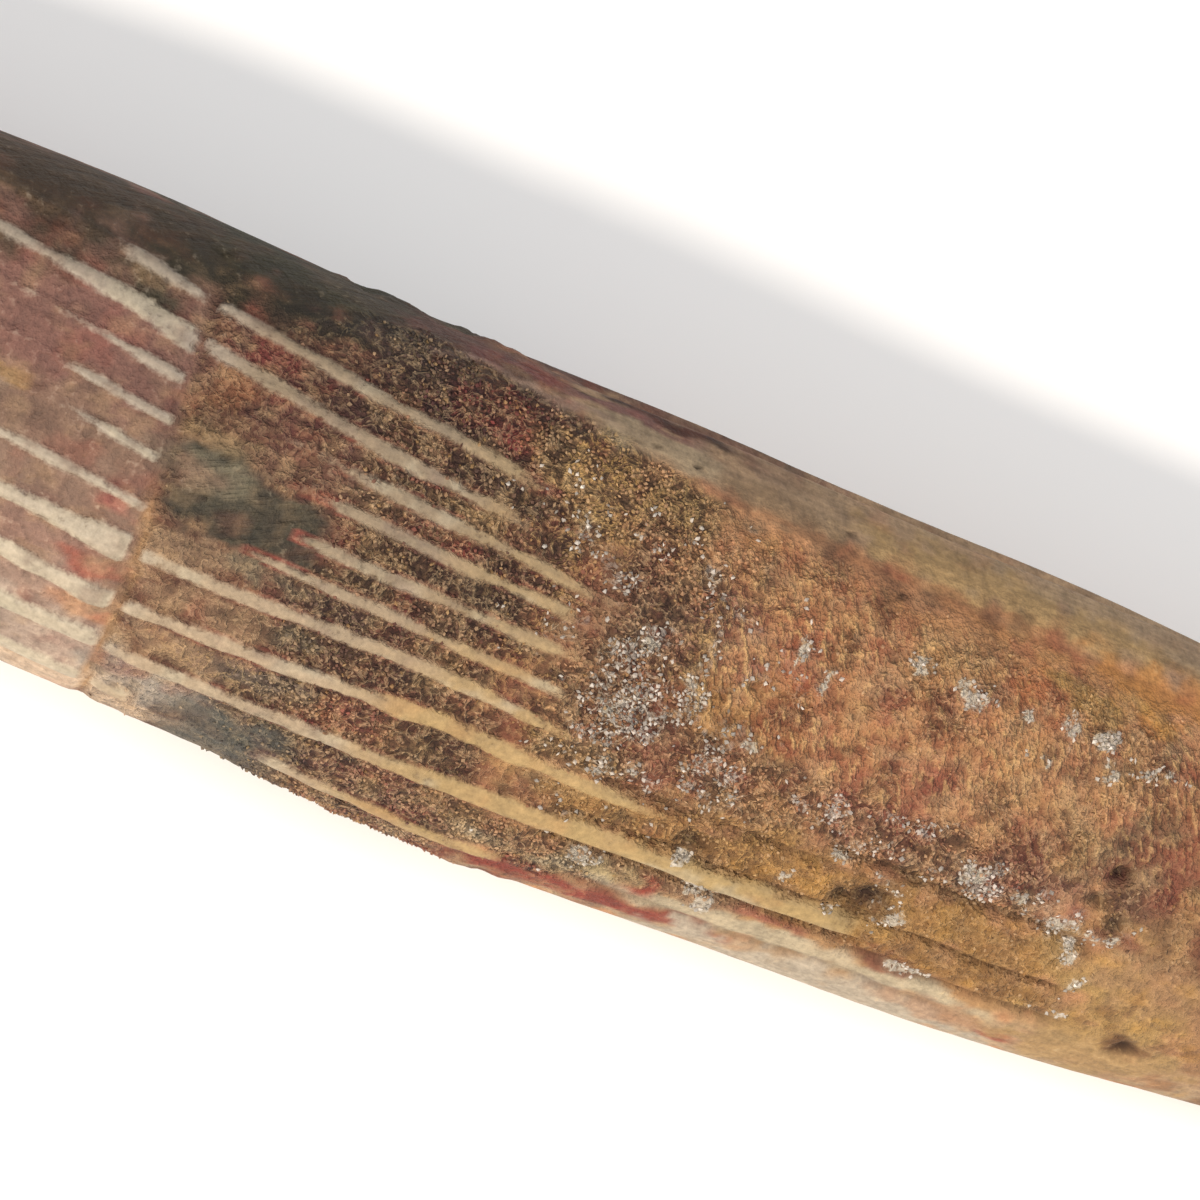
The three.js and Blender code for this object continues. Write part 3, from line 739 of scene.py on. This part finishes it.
def buildSpine():
    spine = buildBlank()
    skin = skinOf(spine)
    height, enamel = skinRelief(skin)
    zones = zonesOf(skin, enamel)
    # a thin ring just outside each rib's enamel, for the red line and painted shade beside the ribs
    skin["nextToRib"] = np.clip(smooth(0.0, 0.06, enamel) - smooth(0.25, 0.6, enamel), 0, 1)
    colour, glaze, crust, crystal = paintSkin(skin, zones, enamel)
    flat = skin["flat"]
    sandy = zones["sandy"]
    height += sandy * (0.13 * roughNoise(flat, 1.1, 61) + 0.07 * softNoise(flat, 0.5, 62))
    backEdge = smooth(0.93, 0.97, skin["share"])
    height += 0.42 * band(skin["x"], -9, 16, 2) * backEdge * roughNoise(flat, 1.5, 69)
    height += zones["crystals"] * (0.14 + 0.09 * roughNoise(flat, 0.8, 63))
    height += (1 - sandy) * 0.015 * roughNoise(flat, 0.8, 64) + 0.12 * crust + 0.05 * roughNoise(flat, 5, 65)
    slanted = flat @ np.array([[1, 0, 0], [0.3, 0.4, 0], [0, 0, 0.4]])
    height += zones["streak"] * 0.05 * softNoise(slanted, 0.7, 66)
    crustEdge = band(skin["x"], -4, 13, 1.5) * smooth(0.095, 0.06, skin["share"])
    height += crustEdge * (0.18 + 0.3 * roughNoise(flat, 1.3, 67))
    places = skinPlaces(skin, height)
    low, high = (np.array(corner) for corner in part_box("spine"))
    middle = (places.max(axis=0) + places.min(axis=0)) / 2
    places[:, :2] -= middle[:2]
    places = places * mm
    places[:, :2] += ((low + high) / 2)[:2]
    spine.data.vertices.foreach_set("co", places.ravel())
    spine.data.update()
    above = (skin["side"] > 0) & (skin["span"] > 0.99)
    grit = np.clip(sandy * (1 - 0.9 * zones["streak"]) * (1 - enamel), 0, 1)
    grit = grit * smooth(-0.5, 0.2, roughNoise(flat, 1.5, 68))
    grit *= 0.15 + 0.85 * smooth(-8, -4, skin["x"])
    quartz = np.clip(np.maximum(1.3 * crystal * (0.2 + sandy), crust), 0, 1)
    scratched = np.clip(zones["darkPatch"] + zones["backBand"] * smooth(0, -5, skin["x"]), 0, 1)
    polish = np.clip(zones["tipSide"] + zones["darkPatch"] + 0.6 * zones["backBand"], 0, 1)
    smoothBack = 0.8 * smooth(0.77, 0.80, skin["share"]) * smooth(0, 6, skin["x"])
    facts = {
        "sandy": sandy, "enamel": enamel, "crust": crust, "crystal": crystal, "streak": zones["streak"],
        "polish": polish * (1 - smooth(-2, 3, skin["x"])),
        "fibre": np.clip(zones["rim"] + 0.5 * zones["belly"], 0, 1), "scratched": scratched,
        "gritAbove": grit * above, "gritBelow": grit * ~above * (skin["span"] > 0.99),
        "calm": np.clip(np.maximum(0.85 * zones["belly"], smoothBack), 0, 1),
        "quartz": quartz * (1 - 0.5 * crust), "ochre": spotField(skin, ochreSpots, 0.6, 0.06),
    }
    for name, values in facts.items():
        layer = spine.data.attributes.new(name, "FLOAT", "POINT")
        layer.data.foreach_set("value", values.astype(np.float32))
    for name, values in (("stain", colour), ("glaze", glaze)):
        layer = spine.data.color_attributes.new(name, "FLOAT_COLOR", "POINT")
        opaque = np.hstack([values, np.ones((len(values), 1))])
        layer.data.foreach_set("color", opaque.astype(np.float32).ravel())
    layer = spine.data.uv_layers.active or spine.data.uv_layers.new(name="skinMap")
    layer.name = "skinMap"
    corners = np.empty(len(spine.data.loops), dtype=np.int32)
    spine.data.loops.foreach_get("vertex_index", corners)
    arc = skin["side"] * skin["share"] * section["length"]
    unrolled = np.stack([skin["x"], arc], axis=1)[corners]
    layer.data.foreach_set("uv", unrolled.astype(np.float32).ravel() * mm)
    spine.data.shade_smooth()
    return spine, middle


spine, formMiddle = buildSpine()
print("spine modelled:", len(spine.data.vertices), "vertices")


def rgba(code):
    return (*hexColour(code), 1.0)


def addNode(tree, kind, inputs=(), **settings):  # inputs by name, or in the order of the sockets in use
    node = tree.nodes.new(kind)
    for key, value in settings.items():
        setattr(node, key, value)
    if not isinstance(inputs, dict):
        inputs = dict(zip((spot for spot, socket in enumerate(node.inputs) if socket.enabled), inputs))
    for key, value in inputs.items():
        if isinstance(value, bpy.types.Node):  # its first output in use
            value = next(socket for socket in value.outputs if socket.enabled)
        if isinstance(value, bpy.types.NodeSocket):
            tree.links.new(value, node.inputs[key])
        elif isinstance(value, str) and value.startswith("#"):
            node.inputs[key].default_value = rgba(value)
        else:
            node.inputs[key].default_value = value
    return node


def newMaterial(name):
    material = bpy.data.materials.new(name)
    material.use_nodes = True
    material.node_tree.nodes.clear()
    return material, material.node_tree


# The nodes that the tables below name in short; any other word there is an operation of a Math node.
nodeKinds = {
    "mix": ("ShaderNodeMix", {"data_type": "RGBA"}),  # share of the second colour, and the two colours
    "range": ("ShaderNodeMapRange", {}),  # a value, the range that it has, and the range that it gets
    "light": ("ShaderNodeHueSaturation", {}),  # hue, saturation, brightness, how much of that, and a colour
}


def addSteps(tree, made, steps):  # a table of nodes, whose words stand for nodes that are made already
    for name, (kind, *inputs) in steps.items():
        inputs = [made.get(value, value) if isinstance(value, str) else value for value in inputs]
        idName, settings = nodeKinds.get(kind, ("ShaderNodeMath", {"operation": kind}))
        made[name] = addNode(tree, idName, inputs, **settings)


# Numbers that the skin stores at each vertex.
skinFacts = ("sandy", "enamel", "crust", "crystal", "streak", "polish", "fibre", "scratched", "calm", "ochre")

# Noises of the skin: size of a lump in mm, detail, roughness and how far it wanders. Those that run in
# streaks along the unrolled skin also have a turn in degrees and how much longer than wide they are.
skinNoises = {
    "mottle": {"size": 1.5, "detail": 4, "rough": 0.62, "wander": 0.0},
    "speck": {"size": 0.42, "detail": 2, "rough": 0.7, "wander": 0.0},
    "thread": {"size": 0.95, "detail": 3, "rough": 0.62, "wander": 0.5},
    "row": {"size": 0.46, "detail": 2, "rough": 0.6, "wander": 0.0, "turn": -62, "stretch": 2.0},
    "strand": {"size": 0.40, "detail": 3, "rough": 0.6, "wander": 0.0, "turn": 3, "stretch": 14},
    "scratch": {"size": 0.55, "detail": 3, "rough": 0.65, "wander": 0.0, "turn": 27, "stretch": 8},
}
grainMm = 0.30

# How the colour of the skin comes about.
skinColour = {
    "mottleLevel": ("SUBTRACT", "mottle", 0.5),
    "speckLevel": ("SUBTRACT", "speck", 0.5),
    # ragged edges of the enamel and of the chalky crusts
    "enamelEdge": ("MULTIPLY_ADD", "mottleLevel", 0.8, "speckLevel"),
    "enamelSum": ("ADD", "enamel", "enamelEdge"),
    "glossy": ("range", "enamelSum", 0.14, 0.84, 0.0, 1.0),
    "crustSum": ("MULTIPLY_ADD", "speckLevel", 1.8, "crust"),
    "crusted": ("range", "crustSum", 0.62, 0.92, 0.0, 1.0),
    # bare bone: the mottle and speck that tint it are also its fine relief, so it is darker where that relief
    # lies low and paler where it stands high
    "boneMottle": ("range", "mottle", 0.3, 0.7, 0.84, 1.16),
    "boneSpeck": ("range", "speck", 0.3, 0.7, 0.80, 1.22),
    "boneShade": ("MULTIPLY", "boneMottle", "boneSpeck"),
    "bone": ("light", 0.5, 1.0, "boneShade", 1.0, "stain"),
    # sand: every cell is one grain with its own tint, with painted shade between the grains and painted light
    # on their tops
    "grainFall": ("MULTIPLY", "grainDistance", 1.2),
    "grainRise": ("SUBTRACT", 1.0, "grainFall"),
    "dome": ("MAXIMUM", "grainRise", 0.0),
    "dark": ("range", "grainTint", 0.0, 0.45, 0.45, 0.0),
    "dusty": ("range", "grainTint", 0.45, 1.0, 0.0, 0.30),
    "darkSand": ("mix", "dark", "stain", "#2e1a12"),
    "dustySand": ("mix", "dusty", "darkSand", "#d0aa74"),
    # crisp threads of pale sand with painted highlights on them, standing out of hollows darkened with
    # painted shade
    "threadLevel": ("SUBTRACT", "thread", 0.5),
    "offThread": ("ABSOLUTE", "threadLevel"),
    "threaded": ("range", "offThread", 0.012, 0.05, 1.0, 0.0),
    "hollow": ("range", "offThread", 0.05, 0.11, 0.0, 1.0),
    # painted shade in the hollows between the threads
    "hollowShadeShare": ("MULTIPLY", "hollow", 0.72),
    "hollowShadedSand": ("mix", "hollowShadeShare", "dustySand", "#26110c"),
    "ochreShare": ("range", "ochre", 0.08, 0.4, 0.0, 0.8),
    "palePaint": ("mix", "ochreShare", "#bca27c", "#cda653"),
    # the stain brightened as a painted highlight on the threads, mixed with the pale colour of the sand
    "highlitStain": ("light", 0.5, 1.0, 1.8, 1.0, "stain"),
    "paleSand": ("mix", 0.42, "palePaint", "highlitStain"),
    "milkyShare": ("range", "crystal", 0.1, 0.45, 0.0, 0.9),
    "milkySand": ("mix", "milkyShare", "paleSand", "#ddd5c6"),
    "threadShare": ("MULTIPLY", "threaded", 0.74),
    "threadSandWithPaintedLight": ("mix", "threadShare", "hollowShadedSand", "milkySand"),
    "quartzChance": ("ADD", "grainLot", "crystal"),
    "quartzHere": ("GREATER_THAN", "quartzChance", 1.12),
    "quartzShare": ("MULTIPLY", "quartzHere", 0.55),
    "quartzSand": ("mix", "quartzShare", "threadSandWithPaintedLight", "#b5aca0"),
    # painted shade at the edge of each grain and painted light on its top
    "grainPaintedLightAndShade": ("range", "dome", 0.2, 0.85, 0.6, 1.15),
    "sand": ("light", 0.5, 1.0, "grainPaintedLightAndShade", 1.0, "quartzSand"),
    "sandShare": ("MULTIPLY", "sandy", 0.9),
    "boneAndSand": ("mix", "sandShare", "bone", "sand"),
    # slanting rows of hardened sand on the side of the root: pale sand with painted highlight on their tops,
    # red-brown sand with painted shade in the lows between them
    "topRange": ("range", "row", 0.53, 0.64, 0.0, 0.66),
    "topShare": ("MULTIPLY", "topRange", "streak"),
    "topStain": ("mix", 0.72, "stain", "#d3ab72"),
    "topShade": ("range", "speck", 0.3, 0.7, 0.8, 1.25),
    "rowTopsSandAndHighlight": ("light", 0.5, 1.0, "topShade", 1.0, "topStain"),
    "withTops": ("mix", "topShare", "boneAndSand", "rowTopsSandAndHighlight"),
    "sideRange": ("range", "row", 0.36, 0.47, 0.55, 0.0),
    "sideShare": ("MULTIPLY", "sideRange", "streak"),
    "sideStain": ("mix", 0.6, "stain", "#74331f"),
    "sideShade": ("range", "speck", 0.3, 0.7, 0.65, 1.2),
    # red-brown sand in the lows between the rows, darkened as painted shade
    "rowSidesSandAndShade": ("light", 0.5, 1.0, "sideShade", 1.0, "sideStain"),
    "withRows": ("mix", "sideShare", "withTops", "rowSidesSandAndShade"),
    # fibres along bare bone, and scratches
    "strandShade": ("range", "strand", 0.3, 0.7, 0.82, 1.2),
    "strandShare": ("MULTIPLY", "fibre", 0.9),
    "withStrands": ("light", 0.5, 1.0, "strandShade", "strandShare", "withRows"),
    "scratchShade": ("range", "scratch", 0.3, 0.7, 0.62, 1.42),
    "withScratches": ("light", 0.5, 1.0, "scratchShade", "scratched", "withStrands"),
    # enamel and chalky crusts over all
    "glazeMottle": ("range", "mottle", 0.3, 0.7, 0.86, 1.12),
    "glazeSpeck": ("range", "speck", 0.3, 0.7, 0.80, 1.16),
    "glazeShade": ("MULTIPLY", "glazeMottle", "glazeSpeck"),
    "glazed": ("light", 0.5, 1.0, "glazeShade", 1.0, "glaze"),
    "glazeShare": ("MULTIPLY", "glossy", 0.88),
    "withEnamel": ("mix", "glazeShare", "withScratches", "glazed"),
    "chalkShade": ("range", "speck", 0.3, 0.7, 0.6, 1.2),
    "chalk": ("light", 0.5, 1.0, "chalkShade", 1.0, "#b3a896"),
    "chalkShare": ("MULTIPLY", "crusted", 0.85),
    "colour": ("mix", "chalkShare", "withEnamel", "chalk"),
}

# How rough the skin is, and its fine relief: the last steps add up heights in mm.
skinFinish = {
    "glossRough": ("range", "glossy", 0.0, 1.0, 0.85, 0.62),
    "polishShare": ("MULTIPLY", "polish", 0.12),
    "polished": ("SUBTRACT", "glossRough", "polishShare"),
    "mottleRough": ("range", "mottle", 0.3, 0.7, -0.06, 0.06),
    "rough": ("ADD", "polished", "mottleRough"),
    "glossCalm": ("MULTIPLY", "glossy", 0.85),
    "restCalm": ("MULTIPLY", "calm", 0.8),
    "calmest": ("MAXIMUM", "glossCalm", "restCalm"),
    "plain": ("SUBTRACT", 1.0, "calmest"),
    "rubbed": ("MULTIPLY", "polish", 0.6),
    "unrubbed": ("SUBTRACT", 1.0, "rubbed"),
    "bare": ("MULTIPLY", "plain", "unrubbed"),
    "lumpy": ("MAXIMUM", "sandy", "streak"),
    "lumpMost": ("MULTIPLY_ADD", "lumpy", 0.7, 0.45),
    "rowLevel": ("SUBTRACT", "row", 0.5),
    "strandy": ("MULTIPLY", "strand", "fibre"),
    "scratchLevel": ("SUBTRACT", "scratch", 0.5),
    "scratchy": ("MULTIPLY", "scratchLevel", "scratched"),
    "threadRise": ("SUBTRACT", "threaded", "hollow"),
    "grainMost": ("MULTIPLY", "sandy", 0.20),
    "speckMost": ("MULTIPLY", "bare", 0.40),
    "plainMost": ("MULTIPLY", "plain", "lumpMost"),
    "threadMost": ("MULTIPLY", "sandy", 0.12),
    "grainHeight": ("MULTIPLY", "dome", "grainMost"),
    "andSpecks": ("MULTIPLY_ADD", "speckLevel", "speckMost", "grainHeight"),
    "andLumps": ("MULTIPLY_ADD", "mottleLevel", "plainMost", "andSpecks"),
    "andRows": ("MULTIPLY_ADD", "rowLevel", "streak", "andLumps"),
    "andStrands": ("MULTIPLY_ADD", "strandy", 0.04, "andRows"),
    "andScratches": ("MULTIPLY_ADD", "scratchy", 0.30, "andStrands"),
    "height": ("MULTIPLY_ADD", "threadRise", "threadMost", "andScratches"),
}


def fossilSkin():
    # Phosphatised bone and enamel with hardened desert sand in the grooves: a dry matt stone whose polished
    # ribs and repaired places have a low waxy shine.
    material, tree = newMaterial("fossilBoneAndSand")
    made = {}
    for name in skinFacts:
        made[name] = addNode(tree, "ShaderNodeAttribute", attribute_name=name).outputs["Fac"]
    for name in ("stain", "glaze"):
        made[name] = addNode(tree, "ShaderNodeAttribute", attribute_name=name)
    place = addNode(tree, "ShaderNodeTexCoord").outputs["Object"]
    skinMap = addNode(tree, "ShaderNodeUVMap", uv_map="skinMap")
    for name, look in skinNoises.items():
        where = place
        if "turn" in look:
            turned = {"Vector": skinMap, "Rotation": (0, 0, math.radians(look["turn"])),
                      "Scale": (look["stretch"], 1, 1)}
            where = addNode(tree, "ShaderNodeMapping", turned, vector_type="TEXTURE")
        made[name] = addNode(tree, "ShaderNodeTexNoise", {
            "Vector": where, "Scale": 1000 / look["size"], "Detail": look["detail"],
            "Roughness": look["rough"], "Distortion": look["wander"]})
    grains = addNode(tree, "ShaderNodeTexVoronoi", {"Vector": place, "Scale": 1000 / grainMm})
    tint = addNode(tree, "ShaderNodeSeparateColor", [grains.outputs["Color"]])
    made["grainDistance"] = grains.outputs["Distance"]
    made["grainTint"], made["grainLot"] = tint.outputs["Red"], tint.outputs["Blue"]
    addSteps(tree, made, skinColour)
    addSteps(tree, made, skinFinish)
    relief = addNode(tree, "ShaderNodeBump", {"Strength": 1.0, "Distance": mm, "Height": made["height"]})
    shader = addNode(tree, "ShaderNodeBsdfPrincipled", {
        "Base Color": made["colour"], "Roughness": made["rough"], "Normal": relief,
        "IOR": 1.56, "Metallic": 0.0, "Specular IOR Level": 0.3})
    addNode(tree, "ShaderNodeOutputMaterial", {"Surface": shader})
    return material


# The sand grains: dark and dusty ones, some of them ochre, each with a fine mottle of its own.
sandLook = {
    "facts": ("grainTint", "grainKind", "ochre"), "mottleMm": 0.2, "ior": 1.50, "rough": 0.8,
    "steps": {
        "dark": ("range", "grainTint", 0.0, 0.45, 0.6, 0.0),
        "dusty": ("range", "grainTint", 0.45, 1.0, 0.0, 0.45),
        "darkSand": ("mix", "dark", "stain", "#2e1a12"),
        "dustySand": ("mix", "dusty", "darkSand", "#b89a74"),
        "ochreChance": ("ADD", "grainKind", "ochre"),
        "ochreHere": ("GREATER_THAN", "ochreChance", 1.0),
        "ochreShare": ("MULTIPLY", "ochreHere", 0.35),
        "ochreSand": ("mix", "ochreShare", "dustySand", "#a9854c"),
        "shade": ("range", "mottle", 0.3, 0.7, 0.8, 1.2),
        "colour": ("light", 0.5, 1.0, "shade", 1.0, "ochreSand"),
    },
}
quartzLook = {
    "facts": ("grainTint",), "ior": 1.54, "rough": 0.4,
    "steps": {
        "milky": ("mix", 0.25, "#c2baae", "stain"),
        "shade": ("MULTIPLY_ADD", "grainTint", 0.6, 0.55),
        "colour": ("light", 0.5, 1.0, "shade", 1.0, "milky"),
    },
}


def grainMaterial(name, look):
    material, tree = newMaterial(name)
    made = {"stain": addNode(tree, "ShaderNodeAttribute", attribute_name="stain")}
    for fact in look["facts"]:
        made[fact] = addNode(tree, "ShaderNodeAttribute", attribute_name=fact).outputs["Fac"]
    if "mottleMm" in look:
        place = addNode(tree, "ShaderNodeTexCoord").outputs["Object"]
        made["mottle"] = addNode(tree, "ShaderNodeTexNoise", {
            "Vector": place, "Scale": 1000 / look["mottleMm"], "Detail": 2, "Roughness": 0.6})
    addSteps(tree, made, look["steps"])
    shader = addNode(tree, "ShaderNodeBsdfPrincipled", {
        "Base Color": made["colour"], "Roughness": look["rough"], "IOR": look["ior"]})
    addNode(tree, "ShaderNodeOutputMaterial", {"Surface": shader})
    return material


spine.data.materials.clear()
spine.data.materials.append(fossilSkin())
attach(spine, "root")
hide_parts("spine")
print("skin material ready")

# Stuck grains: the fact that says where, how far apart in mm, how many to a square mm, their least and
# largest size in mm.
grainKinds = {
    "sandAbove": {"where": "gritAbove", "apart": 0.22, "perMm2": 24, "size": (0.10, 0.36), "seed": 3},
    "sandBelow": {"where": "gritBelow", "apart": 0.42, "perMm2": 12, "size": (0.26, 0.50), "seed": 4},
    "quartzGrains": {"where": "quartz", "apart": 0.22, "perMm2": 44, "size": (0.12, 0.42), "seed": 5},
}
pebbleForm = {"segments": 5, "rings": 2, "faces": 10}


def scatterGrains(name, grains, material):  # Geometry Nodes: pebbles spread over the skin, then made real
    pick(spine)
    bpy.ops.object.duplicate()
    piece = bpy.context.object
    piece.name = name
    tree = bpy.data.node_groups.new(name + "Spread", "GeometryNodeTree")
    tree.interface.new_socket("Geometry", in_out="INPUT", socket_type="NodeSocketGeometry")
    tree.interface.new_socket("Geometry", in_out="OUTPUT", socket_type="NodeSocketGeometry")
    source = addNode(tree, "NodeGroupInput").outputs["Geometry"]
    where = addNode(tree, "GeometryNodeInputNamedAttribute", {"Name": grains["where"]}, data_type="FLOAT")
    spots = addNode(tree, "GeometryNodeDistributePointsOnFaces", {
        "Mesh": source, "Density Factor": where, "Distance Min": grains["apart"] * mm,
        "Density Max": grains["perMm2"] * 1e6, "Seed": grains["seed"]}, distribute_method="POISSON")
    for number, fact in enumerate(("grainTint", "grainKind"), start=1):
        chance = addNode(tree, "FunctionNodeRandomValue", {"Seed": number}, data_type="FLOAT")
        spots = addNode(tree, "GeometryNodeStoreNamedAttribute", {
            "Geometry": spots, "Name": fact, "Value": chance}, data_type="FLOAT")
    pebble = addNode(tree, "GeometryNodeMeshUVSphere", [pebbleForm["segments"], pebbleForm["rings"], 1.0])
    least, most = (size / 2 * mm for size in grains["size"])
    size = addNode(tree, "FunctionNodeRandomValue", {0: (least,) * 3, 1: (most,) * 3, "Seed": 3},
                   data_type="FLOAT_VECTOR")
    turn = addNode(tree, "FunctionNodeRandomValue", {1: (6.283,) * 3, "Seed": 4}, data_type="FLOAT_VECTOR")
    spread = addNode(tree, "GeometryNodeInstanceOnPoints", {
        "Points": spots, "Instance": pebble, "Rotation": turn, "Scale": size})
    real = addNode(tree, "GeometryNodeRealizeInstances", {"Geometry": spread})
    addNode(tree, "NodeGroupOutput", {0: real})
    piece.modifiers.new("spread", "NODES").node_group = tree
    bpy.ops.object.modifier_apply(modifier="spread")
    piece.data.materials.clear()
    piece.data.materials.append(material)
    piece.data.shade_flat()
    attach(piece, "root")
    print(name, "grains:", len(piece.data.polygons) // pebbleForm["faces"])


# Desert sand set hard on the bone: quartz and feldspar grains stained by iron, quite dull.
sand = grainMaterial("ironStainedSand", sandLook)
# Milky quartz and chalky crust: pale grains with a slight glassy glint.
milky = grainMaterial("milkyQuartz", quartzLook)
for name, grains in grainKinds.items():
    scatterGrains(name, grains, milky if name == "quartzGrains" else sand)

stage = {
    "floorSize": 3.0, "floorZ": -0.0002,  # in metres
    "floorColour": "#f5f4f1", "sky": "#ffffff", "skyStrength": 0.46,
}


def buildFloor():
    deselectAll()
    bpy.ops.mesh.primitive_plane_add(size=stage["floorSize"], location=(0, 0, stage["floorZ"]))
    floor = bpy.context.object
    floor.name = "paleFloor"
    material, tree = newMaterial("paleMattBoard")
    board = {"Base Color": stage["floorColour"], "Roughness": 0.9}
    shader = addNode(tree, "ShaderNodeBsdfPrincipled", board)
    addNode(tree, "ShaderNodeOutputMaterial", {"Surface": shader})
    floor.data.materials.append(material)


# The camera, in mm and degrees.
view = {"target": (12.0, 2.7, 8.0), "distance": 200.0, "leanDeg": -14.4, "rollDeg": 22.6, "widthSeen": 68.28}


def placeCamera():
    low, high = (Vector(corner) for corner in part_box("spine"))
    shift = Vector(((low.x + high.x) / 2, (low.y + high.y) / 2, 0)) - Vector((*formMiddle[:2], 0)) * mm
    target = Vector(view["target"]) * mm + shift
    lean, roll = math.radians(view["leanDeg"]), math.radians(view["rollDeg"])
    back = Vector((math.sin(lean), 0, math.cos(lean)))
    right = (Vector((1, 0, 0)) - back * back.x).normalized()
    up = back.cross(right)
    turned = Matrix([math.cos(roll) * right + math.sin(roll) * up,
                     math.cos(roll) * up - math.sin(roll) * right, back]).transposed().to_4x4()
    data = bpy.data.cameras.new("camera")
    camera = bpy.data.objects.new("camera", data)
    bpy.context.collection.objects.link(camera)
    data.lens = data.sensor_width * view["distance"] / view["widthSeen"]
    data.clip_start = 0.01
    camera.matrix_world = Matrix.Translation(target + back * view["distance"] * mm) @ turned
    bpy.context.scene.camera = camera
    return target


# Soft round lamps: where they stand from the target and how wide they are in metres, watts and colour.
lamps = {
    "keyFromFront": {"offset": (-0.27, -0.40, 0.46), "size": 0.13, "power": 4.8, "colour": "#fff5e8"},
    "fillFromAbove": {"offset": (0.30, 0.25, 0.72), "size": 0.60, "power": 3.6, "colour": "#fafaff"},
}


def addSoftLight(name, target, lamp):
    data = bpy.data.lights.new(name, "AREA")
    data.shape = "DISK"
    data.size = lamp["size"]
    data.energy = lamp["power"]
    data.color = hexColour(lamp["colour"])
    light = bpy.data.objects.new(name, data)
    bpy.context.collection.objects.link(light)
    light.location = target + Vector(lamp["offset"])
    light.rotation_euler = (-Vector(lamp["offset"])).to_track_quat("-Z", "Y").to_euler()


buildFloor()
target = placeCamera()
for name, lamp in lamps.items():
    addSoftLight(name, target, lamp)
world = bpy.context.scene.world or bpy.data.worlds.new("studio")
bpy.context.scene.world = world
world.use_nodes = True
sky = world.node_tree.nodes["Background"].inputs
sky["Color"].default_value = rgba(stage["sky"])
sky["Strength"].default_value = stage["skyStrength"]
bpy.context.scene.view_settings.view_transform = "Standard"
print("stage, camera and lights ready")
